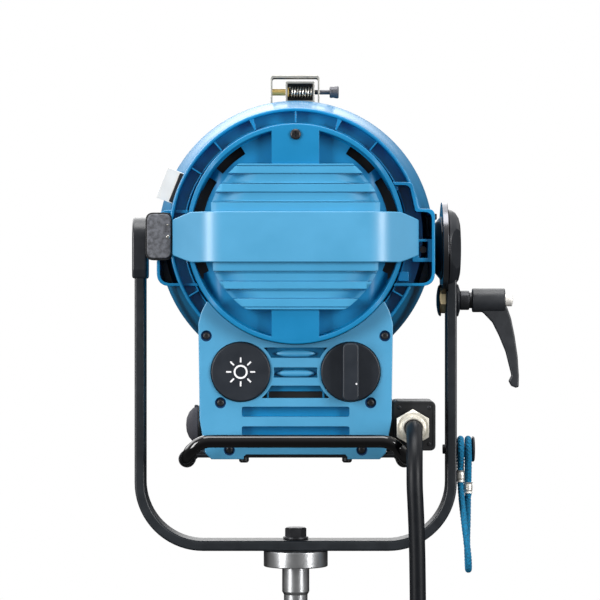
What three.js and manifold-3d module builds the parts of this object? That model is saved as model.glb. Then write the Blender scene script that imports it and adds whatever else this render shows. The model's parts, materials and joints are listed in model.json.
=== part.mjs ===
// A studio fresnel spotlight hung in a stirrup, with its lamp cable and cable strap.
// Millimetres, +Z up. The light leaves along +Y, and the tilt brake is on the +X arm.
// The origin is on the axis of the spigot, at the shoulder that rests on a stand.

import * as THREE from "three";
import { mergeVertices } from "three/addons/utils/BufferGeometryUtils.js";
import Module from "manifold-3d";

const wasm = await Module();
wasm.setup();

// ---------------------------------------------------------------- driving dimensions

const TILT_Z = 327.3; // height of the tilt axis above the spigot's shoulder
const OPTIC_Z = 340; // height of the optical axis
const GAP = 0.4; // between pieces that touch
const DRUM_SIDES = 36; // flats round the drum, the cover and the lens
const DISC_SIDES = 32; // flats round a knob or a disc

// The stirrup: a flat bar bent into a U.
const ARM_OUTER = 165;
const ARM_INNER = 154.4;
const BAR_LOW = 17;
const BAR_HIGH = 27.6;
const BAR_HALF_DEPTH = 19;
const BEND_RADIUS = 70;

// The spigot under the stirrup, a standard 28 mm pin.
const SPIGOT_RADIUS = 14;
const SPIGOT_LENGTH = 82;
const FLANGE_RADIUS = 33;
const BOLT_RADIUS = 6;

// The tilt brake on the +X arm.
const BRAKE_Z = 273.7;
const DISC_RADIUS = 47.5;
const DISC_X = [149.8, 155.6];
const POCKET_X = 156.2; // the inside of the right arm is milled away to here, for the disc
const COVER_CENTRE_Z = 326.4;
const SPINDLE_RADIUS = 5;
const NUT_RADIUS = 13.8;
const NUT_X = [147.5, 154];
const LEVER_X = [181.6, 215.4];

// The drum, turned about the optical axis: [radius, y] from back to front.
const BELL_OUTER = [[128, -58], [129.5, -30], [133, 0], [139, 40], [144.5, 80], [146.5, 100], [146.5, 150]];
const BELL_WALL = 3.5;
const DRUM_BACK_Y = -35;
const AIR_RING_RADIUS = 111.5; // the inner edge of the ribbed air ring at the drum's back
const FRONT_Y = 150;
const RIB_COUNT = 18;

// The rear cover and the band over it share one barrel-shaped profile across x.
const COVER_RADIUS = 110;
const BLOCK_RADIUS = 90;
const BLOCK_Z = [266, 407];
const BARREL_Y = -100; // the flat middle of the band's outer face
const BARREL_FLAT = 72;
const BARREL_RADIUS = 35;
const BARREL_TURN = (42 * Math.PI) / 180;
const BAND_HALF_LENGTH = 122.6;
const BAND_Z = [311.7, 362.1];
const BAND_THICKNESS = 4;
const GROOVES_Z = [[275, 284.4], [293.3, 302.7], [371, 380.4], [388.9, 398.7]];

// The lower housing and its rear panel.
const BASE_Y = [-71.6, 95];
const PANEL_Y = [-76, -72];
const BASE_WALL = 3;
const BASE_BOTTOM_Z = 118.8; // the panel's skirt hangs lower than this
const BASE_OUTLINE = [[84.4, 114.3], [90.4, 120.3], [96.2, 154], [97.6, 250], [94.5, 262], [89.2, 272.4]];
const KNOB_X = 55;
const KNOB_Z = 202;
const KNOB_RADIUS = 29.7;
const VENT_RADIUS = 33.4; // the short vents end on arcs about the two discs
const SHORT_VENTS_Z = [[216, 226.4], [196.2, 206.5], [175.7, 188.2]];
const LONG_VENTS_Z = [[156.9, 167.1], [138, 147.4]];
const LONG_VENT_HALF = 54;
const SIDE_CAP_Y = 20;
const SIDE_CAP_Z = 144.6;

// The lamp, its carriage and its rails. The travel is 50 mm towards the lens.
const RAIL_X = 34;
const RAIL_Z = 172;
const RAIL_RADIUS = 4;
const SCREW_RADIUS = 4.5;
const LAMP_Y = 2;
const SLOT_HALF = 26;
const SLOT_Y = [-42, 86];

// The skid tube, the cable box and its gland.
const TUBE_RADIUS = 6.1;
const SKID_X = 109.7;
const SKID_Z = 113.5;
const HANDLE_Y = -105;
const HANDLE_Z = 134;
const BOX_X = [98.2, 141.2];
const BOX_Y = [-58, 12];
const BOX_Z = [122, 174];
const GLAND_X = 117.7;
const GLAND_Z = 145.7;
const GLAND_MOUTH_Y = -84;

// The lamp cable: 0.60 m from the gland to its connector.
const CABLE_RADIUS = 8;
const CABLE_START = [GLAND_X, GLAND_MOUTH_Y + 2.4, GLAND_Z];
const CABLE_ROUTE = [
  CABLE_START, [117.7, -92, 145.6], [117.6, -104, 143.6], [117.4, -116, 138.8], [117.1, -128, 130.4],
  [116.7, -137, 119.6], [116.4, -143.2, 106], [116.4, -146.2, 92], [117.1, -147, 76], [118.1, -147, 52],
  [118.8, -147, 26], [119.2, -147, 0], [119.5, -147, -30], [119.7, -147, -70], [119.8, -147, -120],
  [119.8, -147, -180], [119.8, -147, -240], [119.8, -147, -300], [119.8, -147, -360], [119.8, -147, -416],
];

// The cable strap: a rope with an eye at each end, both hung over a peg on the +X arm.
const PEG_Z = 120.5;
const PEG_RADIUS = 6.8;
const ROPE_RADIUS = 3.2;
const EYE_RADIUS = 10.4;
const EYE_X = [169.7, 177.5];
const LEG_Y = 3.7; // half the distance between the two legs in a crimp
const CRIMP_Z = [[87.2, 98.9], [75.6, 86.7]];

// The sprung plunger of the accessory latch.
const LATCH_Y = 139;
const LATCH_Z = 498.6;

// ---------------------------------------------------------------- solids

const Y_AXIS = new THREE.Matrix4();
const ALONG = {
  X: new THREE.Matrix4().makeRotationZ(-Math.PI / 2),
  Y: Y_AXIS,
  Z: new THREE.Matrix4().makeRotationX(Math.PI / 2),
};

// A closed geometry as a manifold-3d solid whose faces point out.
function solid(geometry) {
  const loose = geometry.index ? geometry.toNonIndexed() : geometry;
  const bare = new THREE.BufferGeometry().setAttribute("position", loose.getAttribute("position"));
  const merged = mergeVertices(bare, 1e-4);
  const faces = [];
  for (let i = 0; i < merged.index.count; i += 3) {
    const [a, b, c] = merged.index.array.slice(i, i + 3);
    if (a !== b && b !== c && c !== a) faces.push([a, b, c]);
  }
  const make = (list) => new wasm.Manifold(new wasm.Mesh({
    numProp: 3,
    vertProperties: merged.attributes.position.array,
    triVerts: new Uint32Array(list.flat()),
  }));
  const made = make(faces);
  return made.volume() < 0 ? make(faces.map(([a, b, c]) => [a, c, b])) : made;
}

function geometryOf(body) {
  const mesh = body.getMesh();
  const geometry = new THREE.BufferGeometry();
  geometry.setAttribute("position", new THREE.BufferAttribute(new Float32Array(mesh.vertProperties), 3));
  geometry.setIndex(new THREE.BufferAttribute(new Uint32Array(mesh.triVerts), 1));
  return geometry;
}

const union = (first, ...rest) => rest.reduce((sum, body) => sum.add(body), first);
const cut = (first, ...rest) => rest.reduce((left, body) => left.subtract(body), first);

// A profile of [radius, along] points turned about an axis that passes through a point.
function turned(profile, axis, [x, y, z], segments = 24) {
  const closed = profile[0][0] > 0 || profile[profile.length - 1][0] > 0;
  const points = [...profile, ...(closed ? [profile[0]] : [])].map(([r, h]) => new THREE.Vector2(r, h));
  const geometry = new THREE.LatheGeometry(points, segments).applyMatrix4(ALONG[axis]);
  return solid(geometry.translate(x, y, z));
}

// A plain round bar from one place to another along an axis.
function bar(radius, axis, [from, to], [a, b], segments = 16) {
  const place = { X: [0, a, b], Y: [a, 0, b], Z: [a, b, 0] }[axis];
  return turned([[0, from], [radius, from], [radius, to], [0, to]], axis, place, segments);
}

function ring(inner, outer, axis, [from, to], [a, b], segments = DISC_SIDES) {
  const place = { X: [0, a, b], Y: [a, 0, b], Z: [a, b, 0] }[axis];
  return turned([[inner, from], [outer, from], [outer, to], [inner, to]], axis, place, segments);
}

function box([x0, x1], [y0, y1], [z0, z1]) {
  const geometry = new THREE.BoxGeometry(x1 - x0, y1 - y0, z1 - z0);
  return solid(geometry.translate((x0 + x1) / 2, (y0 + y1) / 2, (z0 + z1) / 2));
}

const outlineOf = (points) => new THREE.Shape(points.map(([a, b]) => new THREE.Vector2(a, b)));

function extruded(shape, depth, curveSegments = 8) {
  return new THREE.ExtrudeGeometry(shape, { depth, bevelEnabled: false, curveSegments });
}

// An outline in x and z, made thick along y.
function plateY(shape, [y0, y1], curveSegments) {
  return solid(extruded(shape, y1 - y0, curveSegments).rotateX(Math.PI / 2).translate(0, y1, 0));
}

// An outline in y and z, made thick along x.
function plateX(shape, [x0, x1], curveSegments) {
  const turn = new THREE.Matrix4().makeBasis(
    new THREE.Vector3(0, 1, 0), new THREE.Vector3(0, 0, 1), new THREE.Vector3(1, 0, 0));
  return solid(extruded(shape, x1 - x0, curveSegments).applyMatrix4(turn).translate(x0, 0, 0));
}

// An outline in x and y, made thick along z.
function plateZ(shape, [z0, z1], curveSegments) {
  return solid(extruded(shape, z1 - z0, curveSegments).translate(0, 0, z0));
}

// A rectangle with round corners.
function roundedRectangle([a0, a1], [b0, b1], r) {
  const shape = new THREE.Shape();
  shape.absarc(a1 - r, b0 + r, r, -Math.PI / 2, 0);
  shape.absarc(a1 - r, b1 - r, r, 0, Math.PI / 2);
  shape.absarc(a0 + r, b1 - r, r, Math.PI / 2, Math.PI);
  shape.absarc(a0 + r, b0 + r, r, Math.PI, 1.5 * Math.PI);
  return shape;
}

// An upright strip with a round top about (0, centre), in y and z.
function roundTopped(halfWidth, low, centre) {
  const shape = new THREE.Shape();
  shape.moveTo(-halfWidth, low);
  shape.lineTo(halfWidth, low);
  shape.absarc(0, centre, halfWidth, 0, Math.PI);
  return shape;
}

// A round tube along a smooth curve.
function tube(curve, radius, steps, sides) {
  const section = new THREE.Shape();
  section.absarc(0, 0, radius, 0, 2 * Math.PI);
  return solid(new THREE.ExtrudeGeometry(section, {
    steps, extrudePath: curve, curveSegments: sides, bevelEnabled: false,
  }));
}

const curveThrough = (points) =>
  new THREE.CatmullRomCurve3(points.map((p) => new THREE.Vector3(...p)), false, "centripetal");

// Turns a solid about the optical axis.
function aboutOptic(body, degrees) {
  const matrix = new THREE.Matrix4()
    .makeTranslation(0, 0, OPTIC_Z)
    .multiply(new THREE.Matrix4().makeRotationY((-degrees * Math.PI) / 180))
    .multiply(new THREE.Matrix4().makeTranslation(0, 0, -OPTIC_Z));
  return solid(geometryOf(body).applyMatrix4(matrix));
}

// ---------------------------------------------------------------- materials and the scene graph

const paint = (color, roughness, metalness) =>
  new THREE.MeshStandardMaterial({ color, roughness, metalness });
const FINISHES = {
  blue: paint(0x2f8fc9, 0.42, 0.1),
  black: paint(0x17191c, 0.45, 0.2),
  gloss: paint(0x0b0b0d, 0.12, 0.1),
  plastic: paint(0x1d1e22, 0.6, 0),
  grey: paint(0x66666a, 0.75, 0.1),
  steel: paint(0xc9c9c6, 0.25, 1),
  aluminium: paint(0xd8d8d8, 0.3, 1),
  brass: paint(0xc8a24a, 0.3, 1),
  rubber: paint(0x1a1c20, 0.6, 0),
  rope: paint(0x0f6ea8, 0.85, 0),
  glass: paint(0xeaf2f5, 0.05, 0),
  mirror: paint(0xe8e8ea, 0.05, 1),
  ceramic: paint(0xe6e2d6, 0.6, 0),
};

const spotlight = new THREE.Group();
const yoke = new THREE.Group();
const head = new THREE.Group();
spotlight.add(yoke, head);

function place(group, name, finish, body) {
  const mesh = new THREE.Mesh(geometryOf(body), FINISHES[finish]);
  mesh.name = name;
  group.add(mesh);
}

// ---------------------------------------------------------------- stirrup and spigot

function stirrupOutline() {
  const shape = new THREE.Shape();
  const top = TILT_Z + BAR_HALF_DEPTH;
  const innerBend = BEND_RADIUS - (BAR_HIGH - BAR_LOW);
  const bendX = ARM_OUTER - BEND_RADIUS;
  const bendZ = BAR_LOW + BEND_RADIUS;
  shape.moveTo(ARM_OUTER, top);
  shape.lineTo(ARM_INNER, top);
  shape.absarc(bendX, bendZ, innerBend, 0, -Math.PI / 2, true);
  shape.absarc(-bendX, bendZ, innerBend, -Math.PI / 2, -Math.PI, true);
  shape.lineTo(-ARM_INNER, top);
  shape.lineTo(-ARM_OUTER, top);
  shape.absarc(-bendX, bendZ, BEND_RADIUS, Math.PI, 1.5 * Math.PI);
  shape.absarc(bendX, bendZ, BEND_RADIUS, -Math.PI / 2, 0);
  return shape;
}

function stirrupBar() {
  const bent = plateY(stirrupOutline(), [-BAR_HALF_DEPTH, BAR_HALF_DEPTH], 6);
  const ends = plateX(roundTopped(BAR_HALF_DEPTH, 0, TILT_Z), [-200, 200], 6);
  return cut(
    bent.intersect(ends),
    bar(10.3, "X", [140, 180], [0, TILT_Z]),
    bar(8.4, "X", [-180, -140], [0, TILT_Z]),
    bar(SPINDLE_RADIUS + GAP, "X", [140, 180], [0, BRAKE_Z]),
    bar(DISC_RADIUS + 0.8, "X", [140, POCKET_X], [0, TILT_Z], DISC_SIDES),
    bar(3.4, "X", [140, 180], [0, PEG_Z], 12),
    bar(BOLT_RADIUS + GAP, "Z", [0, 40], [0, 0]),
  );
}

function spigot() {
  const profile = [
    [0, BAR_LOW - GAP], [FLANGE_RADIUS, BAR_LOW - GAP], [FLANGE_RADIUS, 0], [SPIGOT_RADIUS, 0],
    [SPIGOT_RADIUS, -26], [12.2, -29], [12.2, -50], [SPIGOT_RADIUS, -53],
    [SPIGOT_RADIUS, 4 - SPIGOT_LENGTH], [11, -SPIGOT_LENGTH], [0, -SPIGOT_LENGTH],
  ];
  return cut(turned(profile, "Z", [0, 0, 0], 28), bar(BOLT_RADIUS + GAP, "Z", [-24, 30], [0, 0], 16));
}

function spigotBolt() {
  const washerTop = BAR_HIGH + GAP + 2.4;
  return union(
    bar(BOLT_RADIUS, "Z", [-20, washerTop], [0, 0]),
    bar(13, "Z", [BAR_HIGH + GAP, washerTop], [0, 0]),
    bar(11, "Z", [washerTop - 0.5, washerTop + 9.6], [0, 0], 6),
  );
}

place(yoke, "stirrup_bar", "black", stirrupBar());
place(yoke, "spigot", "aluminium", spigot());
place(yoke, "spigot_bolt", "black", spigotBolt());

// The moulded covers over the ends of the arms.
function leftArmCover() {
  return cut(
    plateX(roundTopped(22.4, 297, 336.6), [-167.4, -152.2], 8),
    plateX(roundTopped(BAR_HALF_DEPTH + GAP, 296, TILT_Z), [-ARM_OUTER - GAP, -ARM_INNER + GAP], 8),
    bar(8.6, "X", [-160, -140], [0, TILT_Z]),
  );
}

// A dome with a flat facet that faces back and outwards.
function rightArmCover() {
  const profile = [
    [0, 169.2], [22, 169.2], [27, 168.6], [32.1, 167.4], [37.4, 164.4], [40, 160.5], [40.9, POCKET_X + GAP],
    [0, POCKET_X + GAP],
  ];
  const facet = outlineOf([[156, -39], [168, -30.8], [176, -25.3], [176, -60], [156, -60]]);
  return cut(
    turned(profile, "X", [0, 0, COVER_CENTRE_Z], DISC_SIDES),
    plateX(roundTopped(BAR_HALF_DEPTH + GAP, 250, TILT_Z), [150, ARM_OUTER + GAP], 8),
    plateZ(facet, [270, 380]),
    bar(17.4, "X", [150, 180], [0, BRAKE_Z]),
  );
}

place(yoke, "left_arm_cover", "plastic", leftArmCover());
place(yoke, "right_arm_cover", "plastic", rightArmCover());

// ---------------------------------------------------------------- tilt brake

const discClearance = () => bar(DISC_RADIUS + 0.6, "X", [DISC_X[0] - GAP, 160], [0, TILT_Z], DISC_SIDES);

// A domed cap over the nut, with a lip above it that presses on the disc.
function brakeInnerJaw() {
  const back = NUT_X[0] - GAP;
  const cap = [[0, 144.6], [6, 144.8], [11, 145.7], [15, back], [0, back]];
  const lip = ring(NUT_RADIUS + GAP, NUT_RADIUS + 2, "X", [back - 1, DISC_X[0] - GAP], [0, BRAKE_Z])
    .intersect(box([140, 160], [-20, 20], [BRAKE_Z + 8, BRAKE_Z + 20]));
  return union(turned(cap, "X", [0, 0, BRAKE_Z]), lip);
}

// The clamping nut, cut out where the disc passes.
function brakeNut() {
  const corners = Array.from({ length: 6 }, (_, i) => {
    const angle = ((60 * i - 17) * Math.PI) / 180;
    return [-NUT_RADIUS * Math.cos(angle), BRAKE_Z + NUT_RADIUS * Math.sin(angle)];
  });
  return cut(
    plateX(outlineOf(corners), NUT_X),
    bar(SPINDLE_RADIUS + GAP, "X", [140, 160], [0, BRAKE_Z]),
    discClearance(),
  );
}

function leverArm() {
  const shape = outlineOf([[190, 263], [194.3, 259.6], [202.6, 250.8], [209.4, 237.2], [216.2, 220.6],
    [221.5, 199.5], [222.2, 196.4], [219.3, 190.5], [222, 185.4], [226.1, 183.7], [229.4, 184.4], [229.6, 196.4],
    [228.3, 216.1], [225.2, 237.2], [221.5, 255.4], [217.7, 266], [215.2, 270], [190, 270]]);
  return plateY(shape, [-5.5, 5.5]);
}

function brakeLever() {
  return cut(
    union(bar(12.3, "X", LEVER_X, [0, BRAKE_Z], 32), leverArm()),
    bar(6.6, "X", [205, 226], [0, BRAKE_Z]),
    bar(4, "X", [181, 190], [0, BRAKE_Z]),
  );
}

const SPINDLE = [[0, NUT_X[0] + 0.3], [SPINDLE_RADIUS, NUT_X[0] + 0.3], [SPINDLE_RADIUS, 169.3], [10, 169.3],
  [10, 178.2], [8.2, 178.6], [8.2, 181.2], [0, 181.2]];

place(yoke, "brake_inner_jaw", "plastic", brakeInnerJaw());
place(yoke, "brake_nut", "brass", brakeNut());
place(yoke, "brake_outer_washer", "plastic", turned(
  [[5.4, ARM_OUTER + GAP], [16.6, ARM_OUTER + GAP], [16.6, 167.2], [11, 168.9], [5.4, 168.9]],
  "X", [0, 0, BRAKE_Z]));
place(yoke, "brake_spindle", "black", turned(SPINDLE, "X", [0, 0, BRAKE_Z], 16));
place(yoke, "brake_lever", "plastic", brakeLever());
place(yoke, "lever_button", "steel", bar(6.2, "X", [208.5, 223.5], [0, BRAKE_Z]));

// ---------------------------------------------------------------- cable strap

function strapCurve() {
  const eye = (x) => Array.from({ length: 7 }, (_, i) => {
    const angle = (Math.PI * i) / 6;
    return [x, EYE_RADIUS * Math.cos(angle), PEG_Z + EYE_RADIUS * Math.sin(angle)];
  });
  // One leg through its crimp and out to the side of the eye; side is 1 or -1.
  const leg = (x, [low, high], side) => [low - 3, low + 1, (low + high) / 2, high + 0.5]
    .map((z) => [x, side * LEG_Y, z])
    .concat([[x, side * (LEG_Y + 0.9), high + 4], [x, side * 8.4, (high + 3 + PEG_Z) / 2 + 1]]);
  const [xa, xb] = EYE_X;
  const [inner, outer] = CRIMP_Z;
  return curveThrough([
    ...leg(xa, inner, 1), ...eye(xa), ...leg(xa, inner, -1).reverse(),
    [xa + 0.6, -4.4, 74], [xa + 2.6, -7.5, 52], [xa + 5.4, -11, 28], [xa + 7.4, -11.6, 10],
    [xa + 8, -7.6, 0], [xa + 8.1, 0, -3.6], [xa + 8.1, 7.6, 0], [xa + 7.9, 11.6, 10],
    [xa + 7.5, 11, 28], [xb, 7.5, 48], [xb, 4.4, 66],
    ...leg(xb, outer, 1), ...eye(xb), ...leg(xb, outer, -1).reverse(),
  ]);
}

// A crimped sleeve round the two legs of an eye.
function crimp(x, span) {
  const oval = (r) => roundedRectangle([x - r, x + r], [-LEG_Y - r, LEG_Y + r], r);
  return cut(plateZ(oval(ROPE_RADIUS + 0.95), span, 2), plateZ(oval(ROPE_RADIUS + 0.35), [span[0] - 1, span[1] + 1], 2));
}

const PEG = [[0, 184], [13.5, 184], [13.5, 181.6], [PEG_RADIUS, 181.6], [PEG_RADIUS, ARM_OUTER + GAP],
  [3, ARM_OUTER + GAP], [3, ARM_INNER - 2.8], [0, ARM_INNER - 2.8]];
place(yoke, "rope_peg", "plastic", turned(PEG, "X", [0, 0, PEG_Z], 16));
place(yoke, "rope_peg_nut", "black", ring(3.4, 5, "X", [ARM_INNER - 3.2, ARM_INNER - GAP], [0, PEG_Z], 12));
place(yoke, "strap_rope", "rope", tube(strapCurve(), ROPE_RADIUS, 60, 4));
place(yoke, "strap_crimp_inner", "steel", crimp(EYE_X[0], CRIMP_Z[0]));
place(yoke, "strap_crimp_outer", "steel", crimp(EYE_X[1], CRIMP_Z[1]));

// ---------------------------------------------------------------- drum

const bellInner = BELL_OUTER.map(([r, y]) => [r - BELL_WALL, y]);

// The outline of one side cheek, in x and z; side is 1 or -1.
function cheekOutline(side, inset, hasShoulder) {
  const lower = [[96, 288 + inset], [128 - inset, 288 + inset], [136 - inset, 291 + inset], [140.6 - inset, 298],
    [140.6 - inset, 351 - inset], [137 - inset, 359 - inset], [130 - inset, 365 - inset]];
  const shoulder = [[123 - inset, 368 - inset], [117.6 - inset, 388 - inset], [113 - inset, 393 - inset],
    [80, 393 - inset]];
  const points = [...lower, ...(hasShoulder ? shoulder : [[96, 365 - inset]])];
  return outlineOf(points.map(([x, z]) => [side * x, z]));
}

// A cheek is a hollow bulge round a trunnion, open at the back.
function cheek(side, back) {
  const hasShoulder = side > 0;
  const drum = turned([[0, -70], [AIR_RING_RADIUS, -70], [AIR_RING_RADIUS, DRUM_BACK_Y],
    ...BELL_OUTER.slice(1).map(([r, y]) => [r - 1, y]), [0, FRONT_Y]], "Y", [0, 0, OPTIC_Z], DRUM_SIDES);
  return cut(
    plateY(cheekOutline(side, 0, hasShoulder), [back, 25]),
    plateY(cheekOutline(side, 3, hasShoulder), [back - 1, 22]),
    drum,
  );
}

// The hollow that a cheek opens in the drum's rear lip and its ribs.
const cheekHollow = (side) => cut(
  plateY(cheekOutline(side, 3, side > 0), [-62, DRUM_BACK_Y]),
  bar(AIR_RING_RADIUS, "Y", [-70, 0], [0, OPTIC_Z], DRUM_SIDES),
);

function frontHousing() {
  const shell = turned([
    ...BELL_OUTER, ...bellInner.slice(2).reverse(), [125.8, DRUM_BACK_Y + 4],
    [AIR_RING_RADIUS, DRUM_BACK_Y + 4], [AIR_RING_RADIUS, DRUM_BACK_Y], [125, DRUM_BACK_Y], [124.6, -58],
  ], "Y", [0, 0, OPTIC_Z], DRUM_SIDES);
  const ribs = Array.from({ length: RIB_COUNT }, (_, i) =>
    aboutOptic(box([-1.2, 1.2], [-56, DRUM_BACK_Y + 1], [OPTIC_Z + 111.7, OPTIC_Z + 125.6]), (360 / RIB_COUNT) * i));
  return cut(
    union(cut(union(shell, ...ribs), cheekHollow(1)), cheek(1, -60), cheek(-1, -50)),
    box([-SLOT_HALF, SLOT_HALF], SLOT_Y, [180, 240]),
    bar(10.2, "X", [134, 145], [0, TILT_Z]),
    bar(8.4, "X", [-145, -134], [0, TILT_Z]),
    box([-14, 14], [130, 148], [OPTIC_Z + 148, OPTIC_Z + 150]),
  );
}

place(head, "front_housing", "blue", frontHousing());

// ---------------------------------------------------------------- lens and accessory brackets

const LENS_RADIUS = 127;
const BEZEL = [[146.5, FRONT_Y + GAP], [146.5, 156.5], [144, 158.5], [122, 158.5], [122, FRONT_Y + GAP]];
const RETAINER = [[120, 134], [141.8, 134], [141.8, 138], [120, 138]];

// The lens is flat towards the lamp and stepped towards the front.
function fresnelLens() {
  const steps = 4;
  const profile = [[0, 138.4], [LENS_RADIUS, 138.4], [LENS_RADIUS, 143]];
  for (let step = steps; step > 0; step -= 1) {
    const outer = (116 * step) / steps;
    const inner = (116 * (step - 1)) / steps;
    profile.push([outer, 143], [Math.max(inner, 0) + 0.8, 149.4]);
  }
  profile.push([0, 149.4]);
  return turned(profile, "Y", [0, 0, OPTIC_Z], DISC_SIDES);
}

// An L-shaped holder for a filter frame, drawn at the bottom of the lens and turned to its place.
function accessoryBracket(degrees) {
  const drawn = union(
    box([-15, 15], [158.9, 161.4], [OPTIC_Z - 141, OPTIC_Z - 128]),
    box([-15, 15], [159, 176], [OPTIC_Z - 131.5, OPTIC_Z - 128.5]),
    box([-15, 15], [173.5, 176], [OPTIC_Z - 131.5, OPTIC_Z - 117]),
  );
  return degrees ? aboutOptic(drawn, degrees) : drawn;
}

place(head, "lens_bezel", "blue", turned(BEZEL, "Y", [0, 0, OPTIC_Z], DRUM_SIDES));
place(head, "fresnel_lens", "glass", fresnelLens());
place(head, "lens_retainer", "steel", turned(RETAINER, "Y", [0, 0, OPTIC_Z], DISC_SIDES));
place(head, "accessory_bracket_bottom", "steel", accessoryBracket(0));
place(head, "accessory_bracket_left", "steel", accessoryBracket(-65));
place(head, "accessory_bracket_right", "steel", accessoryBracket(65));

// A plate that stands out from the drum on the -X side.
function sideBracket() {
  const drawn = cut(
    union(
      box([-16.5, 16.5], [-22, -20], [OPTIC_Z + 127, OPTIC_Z + 147.5]),
      box([-16.5, 16.5], [-22, -6], [OPTIC_Z + 127, OPTIC_Z + 135.6]),
    ),
    turned([[0, -70], ...BELL_OUTER.map(([r, y]) => [r + GAP, y]), [0, FRONT_Y]], "Y", [0, 0, OPTIC_Z], DRUM_SIDES),
  );
  return aboutOptic(drawn, 68.3);
}

place(head, "side_bracket", "steel", sideBracket());

// ---------------------------------------------------------------- accessory latch

const drumTop = () => bar(146.5 + GAP, "Y", [100, 160], [0, OPTIC_Z], DRUM_SIDES);
const latchBore = (radius, span) => bar(radius, "X", span, [LATCH_Y, LATCH_Z], 16);

function latchBail() {
  const deep = [128, 150];
  const outer = plateY(roundedRectangle([-27.3, 25.5], [470, 516], 3), deep, 4);
  const inner = plateY(roundedRectangle([-25.3, 23.5], [460, 514], 2), [deep[0] - 1, deep[1] + 1], 4);
  return cut(outer, inner, drumTop(), latchBore(4, [-30, -20]), latchBore(2.9, [20, 30]));
}

function latchGuide() {
  const frame = box([-11.2, 20.3], [130, 148], [486.9, 509.6]);
  const window = box([-9.2, 18.3], [129, 149], [488.9, 507.6]);
  return cut(frame, window, latchBore(4, [-15, -5]), latchBore(2.9, [15, 25]));
}

const PLUNGER = [[0, -27], [3.6, -27], [3.6, -9], [5, -9], [5, -7.5], [2.5, -7.5], [2.5, 36.6],
  [6.4, 36.6], [6.85, 38], [6.85, 45], [6, 46.2], [0, 46.2]];
place(head, "latch_bail", "steel", latchBail());
place(head, "latch_guide", "steel", latchGuide());
place(head, "latch_plunger", "brass", turned(PLUNGER, "X", [0, LATCH_Y, LATCH_Z], 12));
place(head, "latch_spring", "steel", ring(2.9, 6, "X", [-7.2, 18], [LATCH_Y, LATCH_Z], 16));

// ---------------------------------------------------------------- rear cover and band

// Points along the barrel profile, set in from the band's outer face by an amount.
function barrelPoints(inset) {
  const radius = BARREL_RADIUS - inset;
  const half = [];
  const steps = 6;
  for (let step = 0; step <= steps; step += 1) {
    const turn = (BARREL_TURN * step) / steps;
    half.push([BARREL_FLAT + radius * Math.sin(turn), BARREL_Y + BARREL_RADIUS - radius * Math.cos(turn)]);
  }
  const [endX, endY] = half[half.length - 1];
  const reach = 150 - endX;
  half.push([150, endY + reach * Math.tan(BARREL_TURN)]);
  return [...half.map(([x, y]) => [-x, y]).reverse(), ...half];
}

// Everything in front of the barrel profile at an inset, as far as y.
function inFrontOf(inset, y) {
  const points = barrelPoints(inset);
  return plateZ(outlineOf([...points, [150, y], [-150, y]].filter(([, b]) => b <= y)), [200, 480]);
}

// Everything behind the barrel profile at an inset.
function behind(inset) {
  return plateZ(outlineOf([...barrelPoints(inset), [150, -130], [-150, -130]]), [200, 480]);
}

function rearCover() {
  const round = (r) => bar(r, "Y", [-125, DRUM_BACK_Y - GAP], [0, OPTIC_Z], DRUM_SIDES);
  const block = (r, trim) => round(r).intersect(box([-100, 100], [-130, 0], [BLOCK_Z[0] + trim, BLOCK_Z[1] - trim]));
  const outside = union(round(COVER_RADIUS).intersect(inFrontOf(8, 20)), block(BLOCK_RADIUS, 0).intersect(inFrontOf(5, 20)));
  const trough = cut(round(105), block(BLOCK_RADIUS, 0), box([-23.3, 23.3], [-130, 0], [200, 480]));
  const grooves = GROOVES_Z.map((span) => box([-100, 100], [-130, 0], span).intersect(behind(12)).intersect(round(91)));
  const vents = [[32, 50.4], [56.5, 76], [81, 113]].flatMap(([from, to]) =>
    [1, -1].map((side) => ventArc(side * (90 - from), side * (90 - to), side)));
  return cut(
    outside,
    round(107).intersect(inFrontOf(25, 20)),
    block(BLOCK_RADIUS - 3, 3).intersect(inFrontOf(15, 20)),
    trough.intersect(behind(22)),
    ...grooves,
    ...vents,
  );
}

// A slot through the floor of the cover's trough between two angles above the horizontal.
function ventArc(from, to, side) {
  const shape = new THREE.Shape();
  const [low, high] = [Math.min(from * side, to * side), Math.max(from * side, to * side)];
  const steps = 5;
  const arc = (r, flip) => Array.from({ length: steps + 1 }, (_, i) => {
    const share = flip ? 1 - i / steps : i / steps;
    const angle = ((low + (high - low) * share) * Math.PI) / 180;
    return new THREE.Vector2(side * r * Math.cos(angle), OPTIC_Z + r * Math.sin(angle));
  });
  shape.setFromPoints([...arc(103.5, false), ...arc(94.6, true)]);
  return plateY(shape, [-120, -38]);
}

function rearBand() {
  const slab = behind(BAND_THICKNESS).subtract(behind(0));
  const [low, high] = BAND_Z;
  const end = BAND_HALF_LENGTH;
  const outline = outlineOf([[-105, low], [105, low], [end, low + 7.5], [end, high - 7.5], [105, high],
    [-105, high], [-end, high - 7.5], [-end, low + 7.5]]);
  return slab.intersect(plateY(outline, [-130, 0]));
}

place(head, "rear_cover", "blue", rearCover());
place(head, "rear_band", "blue", rearBand());
place(head, "cover_screw", "black", bar(5.4, "Y", [BARREL_Y + 5, BARREL_Y + 8 - GAP], [0, OPTIC_Z + 99.1], 16));

// ---------------------------------------------------------------- lower housing

function baseOutline(inset) {
  const right = BASE_OUTLINE.map(([x, z], i) => [x - inset, z + (i < 1 ? inset : 0)]);
  return outlineOf([...right, ...right.map(([x, z]) => [-x, z]).reverse()]);
}

// The drum as a plain solid, grown by an amount.
const drumGrown = (by) => turned(
  [[0, -58.6], ...BELL_OUTER.map(([r, y]) => [r + by, y === -58 ? -58.6 : y]), [0, FRONT_Y]],
  "Y", [0, 0, OPTIC_Z], DRUM_SIDES);
const coverClearance = () => bar(COVER_RADIUS + 1.3, "Y", [-130, 160], [0, OPTIC_Z], DRUM_SIDES);

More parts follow.
